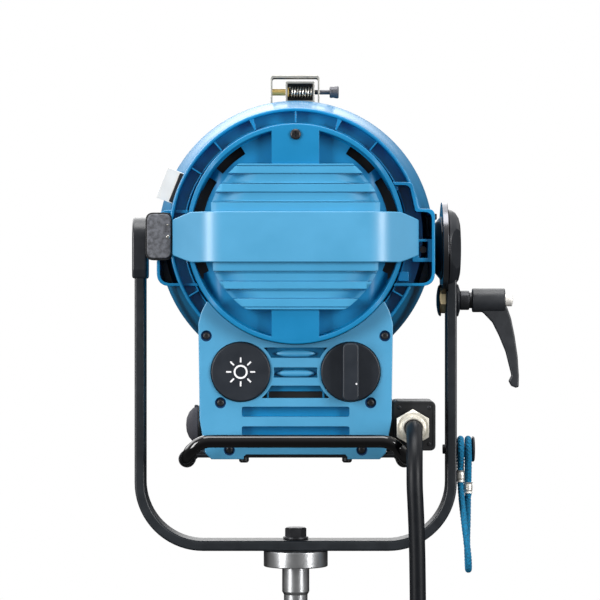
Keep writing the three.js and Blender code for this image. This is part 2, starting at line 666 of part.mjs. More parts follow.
function lowerHousing() {
  const above = (z) => box([-120, 120], [-120, 120], [z, 400]);
  const hollow = cut(
    plateY(baseOutline(BASE_WALL), [BASE_Y[0] - 5, BASE_Y[1] - BASE_WALL]).intersect(above(BASE_BOTTOM_Z + BASE_WALL)),
    drumGrown(BASE_WALL),
    bar(COVER_RADIUS + 1.3 + BASE_WALL, "Y", [-130, 160], [0, OPTIC_Z], DRUM_SIDES),
  );
  const screwBoss = cut(
    box([47, 63], [44, 52], [194, 214]),
    drumGrown(1),
    bar(SCREW_RADIUS + GAP, "Y", [40, 51], [KNOB_X, KNOB_Z], 16),
  );
  return union(
    cut(
      plateY(baseOutline(0), BASE_Y).intersect(above(BASE_BOTTOM_Z)),
      drumGrown(GAP),
      coverClearance(),
      hollow,
      box([-SLOT_HALF, SLOT_HALF], SLOT_Y, [180, 240]),
      bar(12.5, "X", [-110, -80], [SIDE_CAP_Y, SIDE_CAP_Z]),
    ),
    screwBoss,
  );
}

function shortVent([low, high]) {
  const slot = box([-50, 50], [-90, -60], [low, high]);
  return cut(slot, ...[-1, 1].map((side) => bar(VENT_RADIUS, "Y", [-95, -55], [side * KNOB_X, KNOB_Z], DISC_SIDES)));
}

function rearPanel() {
  return cut(
    plateY(baseOutline(0), PANEL_Y),
    coverClearance(),
    ...[-1, 1].map((side) => bar(KNOB_RADIUS + 0.7, "Y", [-90, -60], [side * KNOB_X, KNOB_Z], DISC_SIDES)),
    ...SHORT_VENTS_Z.map(shortVent),
    ...LONG_VENTS_Z.map((span) => box([-LONG_VENT_HALF, LONG_VENT_HALF], [-90, -60], span)),
    box([-52, 52], [-90, -60], [110, 119.5]),
  );
}

function ventBaffle() {
  const shape = outlineOf([[-60, 132], [60, 132], [60, 166.5], [28, 166.5], [28, 224.6], [-28, 224.6], [-28, 166.5],
    [-60, 166.5]]);
  return plateY(shape, [-66, -64.5]);
}

const SIDE_SOCKET = [[0, -100.4], [20.9, -100.4], [20.9, -98], [12, -98], [12, -88], [0, -88]];
const SIDE_CAP = [[0, -113.8], [7, -113.1], [13, -110.6], [17.4, -106.6], [19.6, -101.8], [19.6, -100.8], [0, -100.8]];

place(head, "lower_housing", "blue", lowerHousing());
place(head, "rear_panel", "blue", rearPanel());
place(head, "vent_baffle", "blue", ventBaffle());
place(head, "badge_disc", "plastic", bar(KNOB_RADIUS, "Y", [-79, -73], [-KNOB_X, KNOB_Z], DISC_SIDES));
place(head, "ignitor_box", "black", box([-70, 70], [-20, 85], [122.4, 156]));
place(head, "side_cap_socket", "plastic", turned(SIDE_SOCKET, "X", [0, SIDE_CAP_Y, SIDE_CAP_Z], 24));
place(head, "side_cap", "plastic", turned(SIDE_CAP, "X", [0, SIDE_CAP_Y, SIDE_CAP_Z], 24));

// ---------------------------------------------------------------- tilt bearings

function leftTrunnionBlock() {
  const face = roundedRectangle([-149.8, -125.2], [316, 360.7], 7);
  return cut(
    plateY(face, [-62, 20], 4),
    box([-141.4, -100], [-50.4, 30], [300, 380]),
    bar(8.4, "X", [-160, -135], [0, TILT_Z]),
    drumGrown(GAP),
    plateZ(outlineOf([...barrelPoints(-GAP), [150, 0], [-150, 0]].filter(([, y]) => y <= 0)), [300, 380])
      .intersect(box([-125.6, 0], [-130, 0], [300, 380])),
  );
}

const LEFT_PIN = [[0, -163.8], [8, -163.8], [8, -137.2], [11, -137.2], [11, -135.6], [0, -135.6]];
const RIGHT_PIN = [[0, 135.6], [12.5, 135.6], [12.5, 137.2], [9.8, 137.2], [9.8, 163.8], [0, 163.8]];
const HUB = [[10.2, 141.2], [14, 141.2], [23, 142.2], [26, 143.6], [31, 147.6], [32.6, 149.4], [10.2, 149.4]];

place(head, "left_trunnion_block", "grey", leftTrunnionBlock());
place(head, "left_trunnion_pin", "steel", turned(LEFT_PIN, "X", [0, 0, TILT_Z], 24));
place(head, "right_trunnion_pin", "steel", turned(RIGHT_PIN, "X", [0, 0, TILT_Z], 24));
place(head, "right_hub_flange", "plastic", turned(HUB, "X", [0, 0, TILT_Z], 28));
place(head, "brake_disc", "steel", ring(10.2, DISC_RADIUS, "X", DISC_X, [0, TILT_Z], DISC_SIDES));

// ---------------------------------------------------------------- skid and handle

function skidCurve() {
  const side = (s) => {
    const vector = (x, y, z) => new THREE.Vector3(s * x, y, z);
    return {
      rail: [vector(SKID_X, 118, SKID_Z), vector(SKID_X, -72, SKID_Z)],
      bend: [vector(SKID_X, -72, SKID_Z), vector(SKID_X, -104, SKID_Z), vector(103, HANDLE_Y, HANDLE_Z),
        vector(84, HANDLE_Y, HANDLE_Z)],
    };
  };
  const [left, right] = [side(-1), side(1)];
  const path = new THREE.CurvePath();
  path.add(new THREE.LineCurve3(...left.rail));
  path.add(new THREE.CubicBezierCurve3(...left.bend));
  path.add(new THREE.LineCurve3(left.bend[3], right.bend[3]));
  path.add(new THREE.CubicBezierCurve3(...right.bend.slice().reverse()));
  path.add(new THREE.LineCurve3(right.rail[1], right.rail[0]));
  return path;
}

const bracketPlate = (span) => box([-SKID_X + TUBE_RADIUS + GAP, SKID_X - TUBE_RADIUS - GAP], span, [114.9, 118.4]);

place(head, "skid_tube", "gloss", tube(skidCurve(), TUBE_RADIUS, 50, 4));
place(head, "skid_bracket_rear", "black", bracketPlate([-58, -34]));
place(head, "skid_bracket_front", "black", bracketPlate([62, 88]));

// ---------------------------------------------------------------- cable box, gland and lamp cable

function cableBox() {
  const face = roundedRectangle(BOX_X, BOX_Z, 6);
  const inner = roundedRectangle([BOX_X[0] + 3, BOX_X[1] - 3], [BOX_Z[0] + 3, BOX_Z[1] - 3], 4);
  return cut(plateY(face, [BOX_Y[0] + 3, BOX_Y[1]], 2), plateY(inner, [BOX_Y[0], BOX_Y[1] - 3], 1));
}

function cableGland() {
  return cut(
    union(
      bar(17, "Y", [-66, BOX_Y[0] - 0.7], [GLAND_X, GLAND_Z], 6),
      turned([[0, GLAND_MOUTH_Y], [11.5, GLAND_MOUTH_Y], [14, -80], [14, -65], [0, -65]], "Y",
        [GLAND_X, 0, GLAND_Z], 24),
    ),
    bar(CABLE_RADIUS + GAP, "Y", [GLAND_MOUTH_Y - 1, GLAND_MOUTH_Y + 3], [GLAND_X, GLAND_Z]),
  );
}

function cableConnector(top, x, y) {
  const profile = [[0, top - GAP], [10, top - GAP], [12.5, top - 8], [12.5, top - 26], [17, top - 30],
    [19, top - 34], [19, top - 52], [17.6, top - 54], [17.6, top - 92], [14.4, top - 92], [14.4, top - 89], [0, top - 89]];
  return turned(profile, "Z", [x, y, 0], 18);
}

const cableEnd = CABLE_ROUTE[CABLE_ROUTE.length - 1];
place(head, "cable_box", "black", cableBox());
place(head, "cable_box_lid", "black", plateY(roundedRectangle(BOX_X, BOX_Z, 6), [BOX_Y[0], BOX_Y[0] + 2.6], 4));
place(head, "cable_gland", "steel", cableGland());
place(yoke, "lamp_cable", "rubber", tube(curveThrough(CABLE_ROUTE), CABLE_RADIUS, 26, 4));
place(yoke, "cable_connector", "aluminium", cableConnector(cableEnd[2], cableEnd[0], cableEnd[1]));
place(yoke, "connector_ring", "aluminium",
  ring(18, 22.5, "Z", [cableEnd[2] - 78, cableEnd[2] - 55], [cableEnd[0], cableEnd[1]], 18));

// ---------------------------------------------------------------- focus drive and lamp

function focusKnob() {
  const disc = bar(KNOB_RADIUS, "Y", [-79, -73], [KNOB_X, KNOB_Z], DISC_SIDES);
  const grip = box([KNOB_X - 8, KNOB_X + 8], [-93, -78], [KNOB_Z - 29, KNOB_Z + 29])
    .intersect(bar(KNOB_RADIUS - 0.6, "Y", [-95, -76], [KNOB_X, KNOB_Z], DISC_SIDES));
  return cut(union(disc, grip), bar(3.4, "Y", [-76, -70], [KNOB_X, KNOB_Z], 12));
}

function lampCarriage() {
  return cut(
    union(box([-44, 47.8], [-34, 34], [162, 182]), box([47.5, 62.5], [-44, -24], [162, 208.3]),
      box([40, 62.5], [-44, -24], [162, 182])),
    ...[-1, 1].map((side) => bar(RAIL_RADIUS + 0.5, "Y", [-60, 60], [side * RAIL_X, RAIL_Z], 16)),
    bar(SCREW_RADIUS + 0.5, "Y", [-60, 60], [KNOB_X, KNOB_Z], 16),
  );
}

const LAMP = [[0, 236.4], [12, 236.4], [12, 258], [9.5, 262], [13, 276], [15, 300], [15, 362], [12, 376],
  [6, 384], [0, 386]];

// A shallow spherical mirror behind the lamp, on its own stalk.
function reflector() {
  const radius = 62;
  const arc = (r, flip) => Array.from({ length: 5 }, (_, i) => {
    const angle = ((6 + (flip ? 4 - i : i) * 14) * Math.PI) / 180;
    return [r * Math.sin(angle), LAMP_Y - r * Math.cos(angle)];
  });
  const bowl = turned([...arc(radius, false), ...arc(radius - 1.8, true)], "Y", [0, 0, OPTIC_Z], 24);
  return union(bowl, box([-7, 7], [-33.4, -30.6], [182.4, 290]));
}

place(head, "focus_knob", "plastic", focusKnob());
place(head, "focus_screw", "steel", union(
  bar(SCREW_RADIUS, "Y", [-72.6, 50], [KNOB_X, KNOB_Z], 16),
  bar(3, "Y", [-75.6, -72], [KNOB_X, KNOB_Z], 12)));
["left", "right"].forEach((name, i) => place(head, `guide_rail_${name}`, "steel",
  bar(RAIL_RADIUS, "Y", [PANEL_Y[1] + GAP, BASE_Y[1] - BASE_WALL - GAP], [(2 * i - 1) * RAIL_X, RAIL_Z], 16)));
place(head, "lamp_carriage", "aluminium", lampCarriage());
place(head, "lamp_holder", "ceramic", box([-20, 20], [LAMP_Y - 17, LAMP_Y + 17], [182.4, 236]));
place(head, "lamp", "glass", turned(LAMP, "Z", [0, LAMP_Y, 0], 20));
place(head, "reflector", "mirror", reflector());

export default spotlight;
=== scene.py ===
"""Looks of the studio fresnel spotlight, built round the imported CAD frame.

Shapes are worked out in millimetres, in the CAD's own places, and finished() turns them into metres.
"""

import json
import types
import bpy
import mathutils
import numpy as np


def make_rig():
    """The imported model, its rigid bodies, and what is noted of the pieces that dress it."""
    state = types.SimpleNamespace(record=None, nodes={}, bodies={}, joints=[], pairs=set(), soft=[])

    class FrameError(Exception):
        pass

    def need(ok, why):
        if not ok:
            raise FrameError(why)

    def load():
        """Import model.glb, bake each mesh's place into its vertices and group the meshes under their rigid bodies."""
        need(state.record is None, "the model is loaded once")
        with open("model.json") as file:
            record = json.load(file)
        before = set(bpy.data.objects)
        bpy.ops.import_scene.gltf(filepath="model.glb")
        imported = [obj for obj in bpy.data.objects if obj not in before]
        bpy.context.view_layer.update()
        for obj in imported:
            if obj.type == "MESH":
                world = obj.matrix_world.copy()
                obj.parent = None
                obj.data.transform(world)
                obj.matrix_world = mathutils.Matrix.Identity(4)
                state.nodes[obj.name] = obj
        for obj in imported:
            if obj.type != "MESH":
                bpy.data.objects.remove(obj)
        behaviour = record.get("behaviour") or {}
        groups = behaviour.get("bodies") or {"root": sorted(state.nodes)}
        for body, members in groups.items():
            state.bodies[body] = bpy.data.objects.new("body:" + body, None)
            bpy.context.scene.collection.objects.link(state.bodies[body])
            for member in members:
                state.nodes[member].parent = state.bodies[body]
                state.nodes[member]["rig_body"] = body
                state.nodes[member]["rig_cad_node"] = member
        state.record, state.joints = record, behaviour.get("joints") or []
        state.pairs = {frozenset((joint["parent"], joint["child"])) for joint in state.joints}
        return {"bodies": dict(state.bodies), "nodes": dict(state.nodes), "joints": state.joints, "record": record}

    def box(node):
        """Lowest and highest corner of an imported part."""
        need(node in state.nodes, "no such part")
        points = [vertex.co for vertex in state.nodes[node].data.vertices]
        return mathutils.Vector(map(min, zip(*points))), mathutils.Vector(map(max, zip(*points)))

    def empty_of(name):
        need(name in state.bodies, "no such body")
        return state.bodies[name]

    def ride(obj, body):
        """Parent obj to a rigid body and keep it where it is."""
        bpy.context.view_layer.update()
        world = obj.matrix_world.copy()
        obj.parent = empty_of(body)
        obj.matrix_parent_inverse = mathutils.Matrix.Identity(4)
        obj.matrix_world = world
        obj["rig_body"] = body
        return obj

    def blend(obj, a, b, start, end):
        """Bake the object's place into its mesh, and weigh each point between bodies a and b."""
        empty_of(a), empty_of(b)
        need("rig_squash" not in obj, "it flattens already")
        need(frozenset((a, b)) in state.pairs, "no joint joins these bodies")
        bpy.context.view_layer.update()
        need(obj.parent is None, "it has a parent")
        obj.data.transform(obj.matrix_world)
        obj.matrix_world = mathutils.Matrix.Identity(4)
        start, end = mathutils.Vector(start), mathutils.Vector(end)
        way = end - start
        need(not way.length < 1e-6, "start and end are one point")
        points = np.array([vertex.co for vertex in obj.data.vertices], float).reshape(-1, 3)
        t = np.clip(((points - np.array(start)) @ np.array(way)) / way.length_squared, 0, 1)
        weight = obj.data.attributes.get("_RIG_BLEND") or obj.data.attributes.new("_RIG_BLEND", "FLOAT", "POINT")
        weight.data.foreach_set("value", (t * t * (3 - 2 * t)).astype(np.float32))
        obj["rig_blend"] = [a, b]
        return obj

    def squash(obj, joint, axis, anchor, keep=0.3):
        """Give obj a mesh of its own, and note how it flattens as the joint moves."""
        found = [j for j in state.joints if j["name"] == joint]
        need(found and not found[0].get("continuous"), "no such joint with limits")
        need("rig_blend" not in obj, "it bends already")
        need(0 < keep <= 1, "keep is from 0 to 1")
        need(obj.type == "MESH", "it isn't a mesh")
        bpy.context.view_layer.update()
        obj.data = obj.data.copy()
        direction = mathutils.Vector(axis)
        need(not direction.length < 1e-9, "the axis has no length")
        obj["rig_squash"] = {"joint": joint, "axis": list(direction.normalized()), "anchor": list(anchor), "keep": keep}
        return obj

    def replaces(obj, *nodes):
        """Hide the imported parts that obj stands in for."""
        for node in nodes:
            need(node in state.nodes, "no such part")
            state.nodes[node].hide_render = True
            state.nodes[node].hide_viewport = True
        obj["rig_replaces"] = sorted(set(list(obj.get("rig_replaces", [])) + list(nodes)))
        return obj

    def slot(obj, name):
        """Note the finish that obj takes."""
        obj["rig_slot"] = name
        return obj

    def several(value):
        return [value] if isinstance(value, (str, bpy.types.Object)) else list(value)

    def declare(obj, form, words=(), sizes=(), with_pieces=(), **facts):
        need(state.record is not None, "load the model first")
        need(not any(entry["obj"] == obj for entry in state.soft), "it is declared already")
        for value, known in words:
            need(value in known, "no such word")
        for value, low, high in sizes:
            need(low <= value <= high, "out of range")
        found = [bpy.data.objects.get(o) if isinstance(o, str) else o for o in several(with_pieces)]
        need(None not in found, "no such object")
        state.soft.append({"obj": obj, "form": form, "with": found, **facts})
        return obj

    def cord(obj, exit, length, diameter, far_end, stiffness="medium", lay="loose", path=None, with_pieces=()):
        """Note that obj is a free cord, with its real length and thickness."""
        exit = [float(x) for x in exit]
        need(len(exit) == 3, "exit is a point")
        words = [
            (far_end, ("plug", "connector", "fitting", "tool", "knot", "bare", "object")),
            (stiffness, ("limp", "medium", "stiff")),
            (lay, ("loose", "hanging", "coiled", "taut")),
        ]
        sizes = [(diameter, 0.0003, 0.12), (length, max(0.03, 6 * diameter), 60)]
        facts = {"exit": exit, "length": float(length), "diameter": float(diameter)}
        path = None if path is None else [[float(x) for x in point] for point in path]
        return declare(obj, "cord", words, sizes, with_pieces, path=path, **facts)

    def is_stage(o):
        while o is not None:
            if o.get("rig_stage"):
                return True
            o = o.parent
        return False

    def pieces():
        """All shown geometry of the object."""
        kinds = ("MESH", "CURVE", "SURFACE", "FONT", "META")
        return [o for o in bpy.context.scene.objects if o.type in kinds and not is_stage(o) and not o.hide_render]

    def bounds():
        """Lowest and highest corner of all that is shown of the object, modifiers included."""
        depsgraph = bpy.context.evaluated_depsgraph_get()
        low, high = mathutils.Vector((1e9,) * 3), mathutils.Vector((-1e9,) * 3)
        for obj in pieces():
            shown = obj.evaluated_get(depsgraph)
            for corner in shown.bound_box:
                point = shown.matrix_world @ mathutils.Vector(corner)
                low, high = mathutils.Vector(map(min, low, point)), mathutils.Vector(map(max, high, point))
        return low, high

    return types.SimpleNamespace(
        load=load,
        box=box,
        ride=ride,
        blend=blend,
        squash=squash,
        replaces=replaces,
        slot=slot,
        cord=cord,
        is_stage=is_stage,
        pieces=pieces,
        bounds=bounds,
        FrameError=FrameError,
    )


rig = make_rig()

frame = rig.load()

import json
import math

import bmesh
import bpy
from mathutils import Matrix, Vector

cad_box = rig.bounds()
record = frame["record"]
scene = bpy.context.scene
MM = 0.001


def corners(node):
    """A CAD node's lowest and highest corners in millimetres."""
    low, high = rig.box(node)
    return Vector(low) / MM, Vector(high) / MM


def middle_of(node):
    return sum(corners(node), Vector()) / 2


def middle_z(node):
    return sum(corner.z for corner in corners(node)) / 2


def joint_place(name):
    """A hinge's place in millimetres."""
    joint = next(j for j in record["behaviour"]["joints"] if j["name"] == name)
    return Vector(joint["pos_m"]) / MM


# ---- camera

camera = bpy.data.objects.new("camera", bpy.data.cameras.new("camera"))
scene.collection.objects.link(camera)
camera.data.sensor_width = 36
camera.data.lens = 163.1
camera.location = (0.0044, -2.8, 0.274)
camera.rotation_euler = (math.radians(90), 0, 0)
scene.camera = camera


# ---- driving places from the frame

TILT = joint_place("head_tilt")
BRAKE = joint_place("brake_turn")
KNOB = joint_place("focus_turn")
OPTIC_Z = middle_z("fresnel_lens")
FRONT_Y = corners("front_housing")[1].y
BACK_Y = corners("rear_band")[0].y
DRUM_BACK_Y = -35
GAP = 0.4
TURN = 2 * math.pi


# ---- points and outlines

def circle_point(radius, degrees, centre=(0, 0)):
    angle = math.radians(degrees)
    return (centre[0] + radius * math.cos(angle), centre[1] + radius * math.sin(angle))


def arc(radius, start, stop, steps, centre=(0, 0)):
    """Points on an arc between two angles in degrees."""
    return [circle_point(radius, start + (stop - start) * i / steps, centre) for i in range(steps + 1)]


def fillet(points, radius, steps=4):
    """A closed outline with its corners rounded; a point may carry its own radius as a third number."""
    rounded = []
    count = len(points)
    for i, point in enumerate(points):
        own = point[2] if len(point) > 2 else radius
        here = Vector(point[:2])
        before = Vector(points[i - 1][:2]) - here
        after = Vector(points[(i + 1) % count][:2]) - here
        turn = before.angle(after, 0) if before.length and after.length else 0
        if own <= 0 or turn < 0.02 or turn > math.pi - 0.12:
            rounded.append(tuple(here))
            continue
        reach = min(own / math.tan(turn / 2), 0.48 * before.length, 0.48 * after.length)
        start = here + before.normalized() * reach
        stop = here + after.normalized() * reach
        for step in range(steps + 1):
            t = step / steps
            rounded.append(tuple(start * (1 - t) ** 2 + here * 2 * t * (1 - t) + stop * t ** 2))
    return rounded


def rectangle(a0, a1, b0, b1, radius=0.0, steps=5):
    return fillet([(a0, b0), (a1, b0), (a1, b1), (a0, b1)], radius, steps)


def face(low, high, inset=0.0, radius=0.0, steps=5):
    """The outline of a box seen from behind, set in by an amount."""
    return rectangle(low.x + inset, high.x - inset, low.z + inset, high.z - inset, radius, steps)


def mirrored(points):
    """An outline's right half, from bottom to top, with its left half."""
    return list(points) + [(-a, b) for a, b in reversed(points)]


def smooth_line(points, steps):
    """Points on a centripetal spline through the given ones, in any number of dimensions."""
    spots = [Vector(p) for p in points]
    spots = [spots[0] * 2 - spots[1], *spots, spots[-1] * 2 - spots[-2]]
    line = []
    for a, b, c, d in zip(spots, spots[1:], spots[2:], spots[3:]):
        t1 = (b - a).length ** 0.5
        t2 = t1 + (c - b).length ** 0.5
        t3 = t2 + (d - c).length ** 0.5
        for step in range(steps):
            t = t1 + (t2 - t1) * step / steps

            def mixed(p, q, start, stop):
                return p * ((stop - t) / (stop - start)) + q * ((t - start) / (stop - start))

            bc = mixed(b, c, t1, t2)
            abc = mixed(mixed(a, b, 0, t1), bc, 0, t2)
            bcd = mixed(bc, mixed(c, d, t2, t3), t1, t3)
            line.append(mixed(abc, bcd, t1, t2))
    return [*line, spots[-2]]


# ---- solids

def shape(vertices, faces):
    """A loose object for more work, with its faces turned outwards."""
    mesh = bpy.data.meshes.new("shape")
    mesh.from_pydata([tuple(v) for v in vertices], [], faces)
    tidy = bmesh.new()
    tidy.from_mesh(mesh)
    bmesh.ops.remove_doubles(tidy, verts=tidy.verts, dist=0.0005)
    bmesh.ops.recalc_face_normals(tidy, faces=tidy.faces)
    tidy.to_mesh(mesh)
    tidy.free()
    made = bpy.data.objects.new("shape", mesh)
    scene.collection.objects.link(made)
    return made


def lofted(rows, ends=""):
    """A skin over rows of points that go round; ends may be "joined" to each other or "capped"."""
    count, sides = len(rows), len(rows[0])
    faces = []
    for row in range(count if ends == "joined" else count - 1):
        low, high = row * sides, (row + 1) % count * sides
        for side in range(sides):
            after = (side + 1) % sides
            faces.append((low + side, low + after, high + after, high + side))
    if ends == "capped":
        faces += [tuple(range(sides)), tuple(range((count - 1) * sides, count * sides))]
    return shape([point for row in rows for point in row], faces)


AXES = {
    "X": lambda a, b, along: (along, a, b),
    "Y": lambda a, b, along: (a, along, b),
    "Z": lambda a, b, along: (a, b, along),
}


def turns(sides):
    return [TURN * side / sides for side in range(sides)]


def turned(profile, axis, place, sides, radius, ends=""):
    """A skin of (radius, along) points turned about an axis; a point may carry its own corner radius."""
    guarded = [(*p[:2], 0) if p[0] == 0 else p for p in profile]
    line = fillet(guarded, radius) if radius else [tuple(p[:2]) for p in profile]
    return lofted([[AXES[axis](r * math.cos(angle) + place[0], r * math.sin(angle) + place[1], along)
                    for angle in turns(sides)] for r, along in line], ends)


def ring(profile, axis="Y", place=(0, 0), sides=96, radius=0.0):
    """A closed profile of (radius, along) points turned about an axis; radius rounds its corners."""
    return turned(profile, axis, place, sides, radius, "joined")


def lathe(profile, axis="Y", place=(0, 0), sides=96, radius=0.0):
    """A solid whose profile is closed onto the axis at both ends, made like a ring."""
    first, last = [[(0, p[1])] if p[0] else [] for p in (profile[0], profile[-1])]
    return turned([*first, *profile, *last], axis, place, sides, radius)


def prism(outline, axis, span, bevel=0.4, holes=(), steps=2):
    """An outline, with holes, made thick along an axis; its edges are rounded by bevel."""
    curve = bpy.data.curves.new("outline", "CURVE")
    curve.dimensions = "2D"
    curve.fill_mode = "BOTH"
    curve.extrude = abs(span[1] - span[0]) / 2 - bevel
    curve.bevel_depth = bevel
    curve.bevel_resolution = steps
    curve.offset = -bevel
    for loop in (outline, *holes):
        spline = curve.splines.new("POLY")
        spline.points.add(len(loop) - 1)
        for point, (a, b) in zip(spline.points, loop):
            point.co = (a, b, 0, 1)
        spline.use_cyclic_u = True
    drawn = bpy.data.objects.new("outline", curve)
    scene.collection.objects.link(drawn)
    mesh = bpy.data.meshes.new_from_object(drawn.evaluated_get(bpy.context.evaluated_depsgraph_get()))
    bpy.data.objects.remove(drawn)
    middle = (span[0] + span[1]) / 2
    vertices = [AXES[axis](v.co.x, v.co.y, v.co.z + middle) for v in mesh.vertices]
    faces = [tuple(polygon.vertices) for polygon in mesh.polygons]
    bpy.data.meshes.remove(mesh)
    return shape(vertices, faces)


def block(x, y, z, radius=0.0, bevel=0.4):
    return prism(rectangle(*x, *z, radius), "Y", y, bevel)


def tube(line, radius, sides=24, bump=None):
    """A round tube along a line of points; bump(distance, angle) scales its radius."""
    spots = [Vector(p) for p in line]
    tangents = [(b - a).normalized() for a, b in zip(spots, spots[1:])]
    tangents.append(tangents[-1])
    normal = tangents[0].orthogonal().normalized()
    rows = []
    distance = 0.0
    for i, spot in enumerate(spots):
        tangent = (tangents[max(i - 1, 0)] + tangents[i]).normalized()
        normal = (normal - tangent * normal.dot(tangent)).normalized()
        other = tangent.cross(normal)
        distance += (spot - spots[i - 1]).length if i else 0
        reaches = [(angle, radius * (bump(distance, angle) if bump else 1)) for angle in turns(sides)]
        rows.append([spot + (normal * math.cos(a) + other * math.sin(a)) * reach for a, reach in reaches])
    return lofted(rows, "capped")


def settle(made):
    """Applies a loose object's modifiers."""
    mesh = bpy.data.meshes.new_from_object(made.evaluated_get(bpy.context.evaluated_depsgraph_get()))
    made.modifiers.clear()
    made.data = mesh
    return made


def combined(made, operation, others):
    for other in others:
        step = made.modifiers.new("step", "BOOLEAN")
        step.operation = operation
        step.solver = "EXACT"
        step.object = other
        settle(made)
        bpy.data.objects.remove(other)
    return made


def cut(made, *others):
    return combined(made, "DIFFERENCE", others)


def within(made, *others):
    return combined(made, "INTERSECT", others)


def welded(made, *others):
    return combined(made, "UNION", others)


def bevelled(made, width, angle=40, steps=2):
    """Rounds the edges that are sharper than an angle."""
    merge = made.modifiers.new("merge", "WELD")
    merge.merge_threshold = 0.01
    step = made.modifiers.new("bevel", "BEVEL")
    step.width = width
    step.segments = steps
    step.limit_method = "ANGLE"
    step.angle_limit = math.radians(angle)
    step.miter_outer = "MITER_ARC"
    step.harden_normals = False
    return settle(made)


def spun(made, axis, place, angle):
    """Turns a shape about an axis through a place in the other two."""
    centre = Matrix.Translation(AXES[axis](*place, 0))
    made.data.transform(centre @ Matrix.Rotation(angle, 4, axis) @ centre.inverted())
    return made


def turned_about_optic(made, degrees):
    """Turns a shape about the optical axis, clockwise as seen from behind."""
    return spun(made, "Y", (0, OPTIC_Z), math.radians(degrees))


def joined(first, *others):
    """Several shapes as one mesh, left as they are."""
    gathered = bmesh.new()
    for part in (first, *others):
        gathered.from_mesh(part.data)
    gathered.to_mesh(first.data)
    gathered.free()
    for part in others:
        bpy.data.objects.remove(part)
    return first


# ---- materials

def add(graph, kind, **inputs):
    """A new shader node; a socket given as an input is linked, anything else is set as its value."""
    node = graph.nodes.new("ShaderNode" + kind)
    for name, value in inputs.items():
        plug_in(graph, node, name.replace("_", " "), value)
    return node


def plug_in(graph, node, name, value):
    if isinstance(value, bpy.types.NodeSocket):
        graph.links.new(value, node.inputs[name])
    else:
        node.inputs[name].default_value = value


def noise(graph, scale, detail=3.0):
    """A noise over the object's own place."""
    place = add(graph, "TexCoord").outputs["Object"]
    return add(graph, "TexNoise", Vector=place, Scale=scale, Detail=detail, Roughness=0.55).outputs["Fac"]


def spread(graph, source, low, high):
    """A value mapped from the middle of a noise to a range."""
    mapped = add(graph, "MapRange", Value=source, From_Min=0.3, From_Max=0.7, To_Min=low, To_Max=high)
    return mapped.outputs["Result"]


def two_tone(graph, source, color, change):
    """A colour that drifts to a changed one with a noise."""
    ramp = add(graph, "ValToRGB", Fac=source)
    for stop, position, factor in zip(ramp.color_ramp.elements, (0.35, 0.65), (1 - change, 1 + change)):
        stop.position = position
        stop.color = (*[min(c * factor, 1) for c in color], 1)
    return ramp.outputs["Color"]


def painted(name, color, change, drift, smoothest, roughest):
    """A new material whose colour drifts slowly and whose gloss is uneven, with its graph and shader."""
    made = bpy.data.materials.new(name)
    made.use_nodes = True
    graph = made.node_tree
    shader = graph.nodes["Principled BSDF"]
    slow = noise(graph, drift)
    plug_in(graph, shader, "Base Color", two_tone(graph, slow, color, change))
    plug_in(graph, shader, "Roughness", spread(graph, slow, smoothest, roughest))
    return made, graph, shader


def surface(name, color, rough, metal, change, grain, height, drift, *gloss):
    """A finish with a fine grain in its bump."""
    made, graph, shader = painted(name, color, change, drift, rough * 0.9, min(rough * 1.12, 1))
    bump = add(graph, "Bump", Strength=0.5, Distance=height, Height=noise(graph, grain, 2))
    plug_in(graph, shader, "Normal", bump.outputs["Normal"])
    shader.inputs["Metallic"].default_value = metal
    for socket, value in zip(GLOSS_SOCKETS, gloss):
        shader.inputs[socket].default_value = value
    return made


def glass(name, color, rough):
    made, graph, shader = painted(name, color, 0.01, 60, rough, rough * 1.6)
    shader.inputs["Transmission Weight"].default_value = 1
    shader.inputs["IOR"].default_value = 1.47
    return made


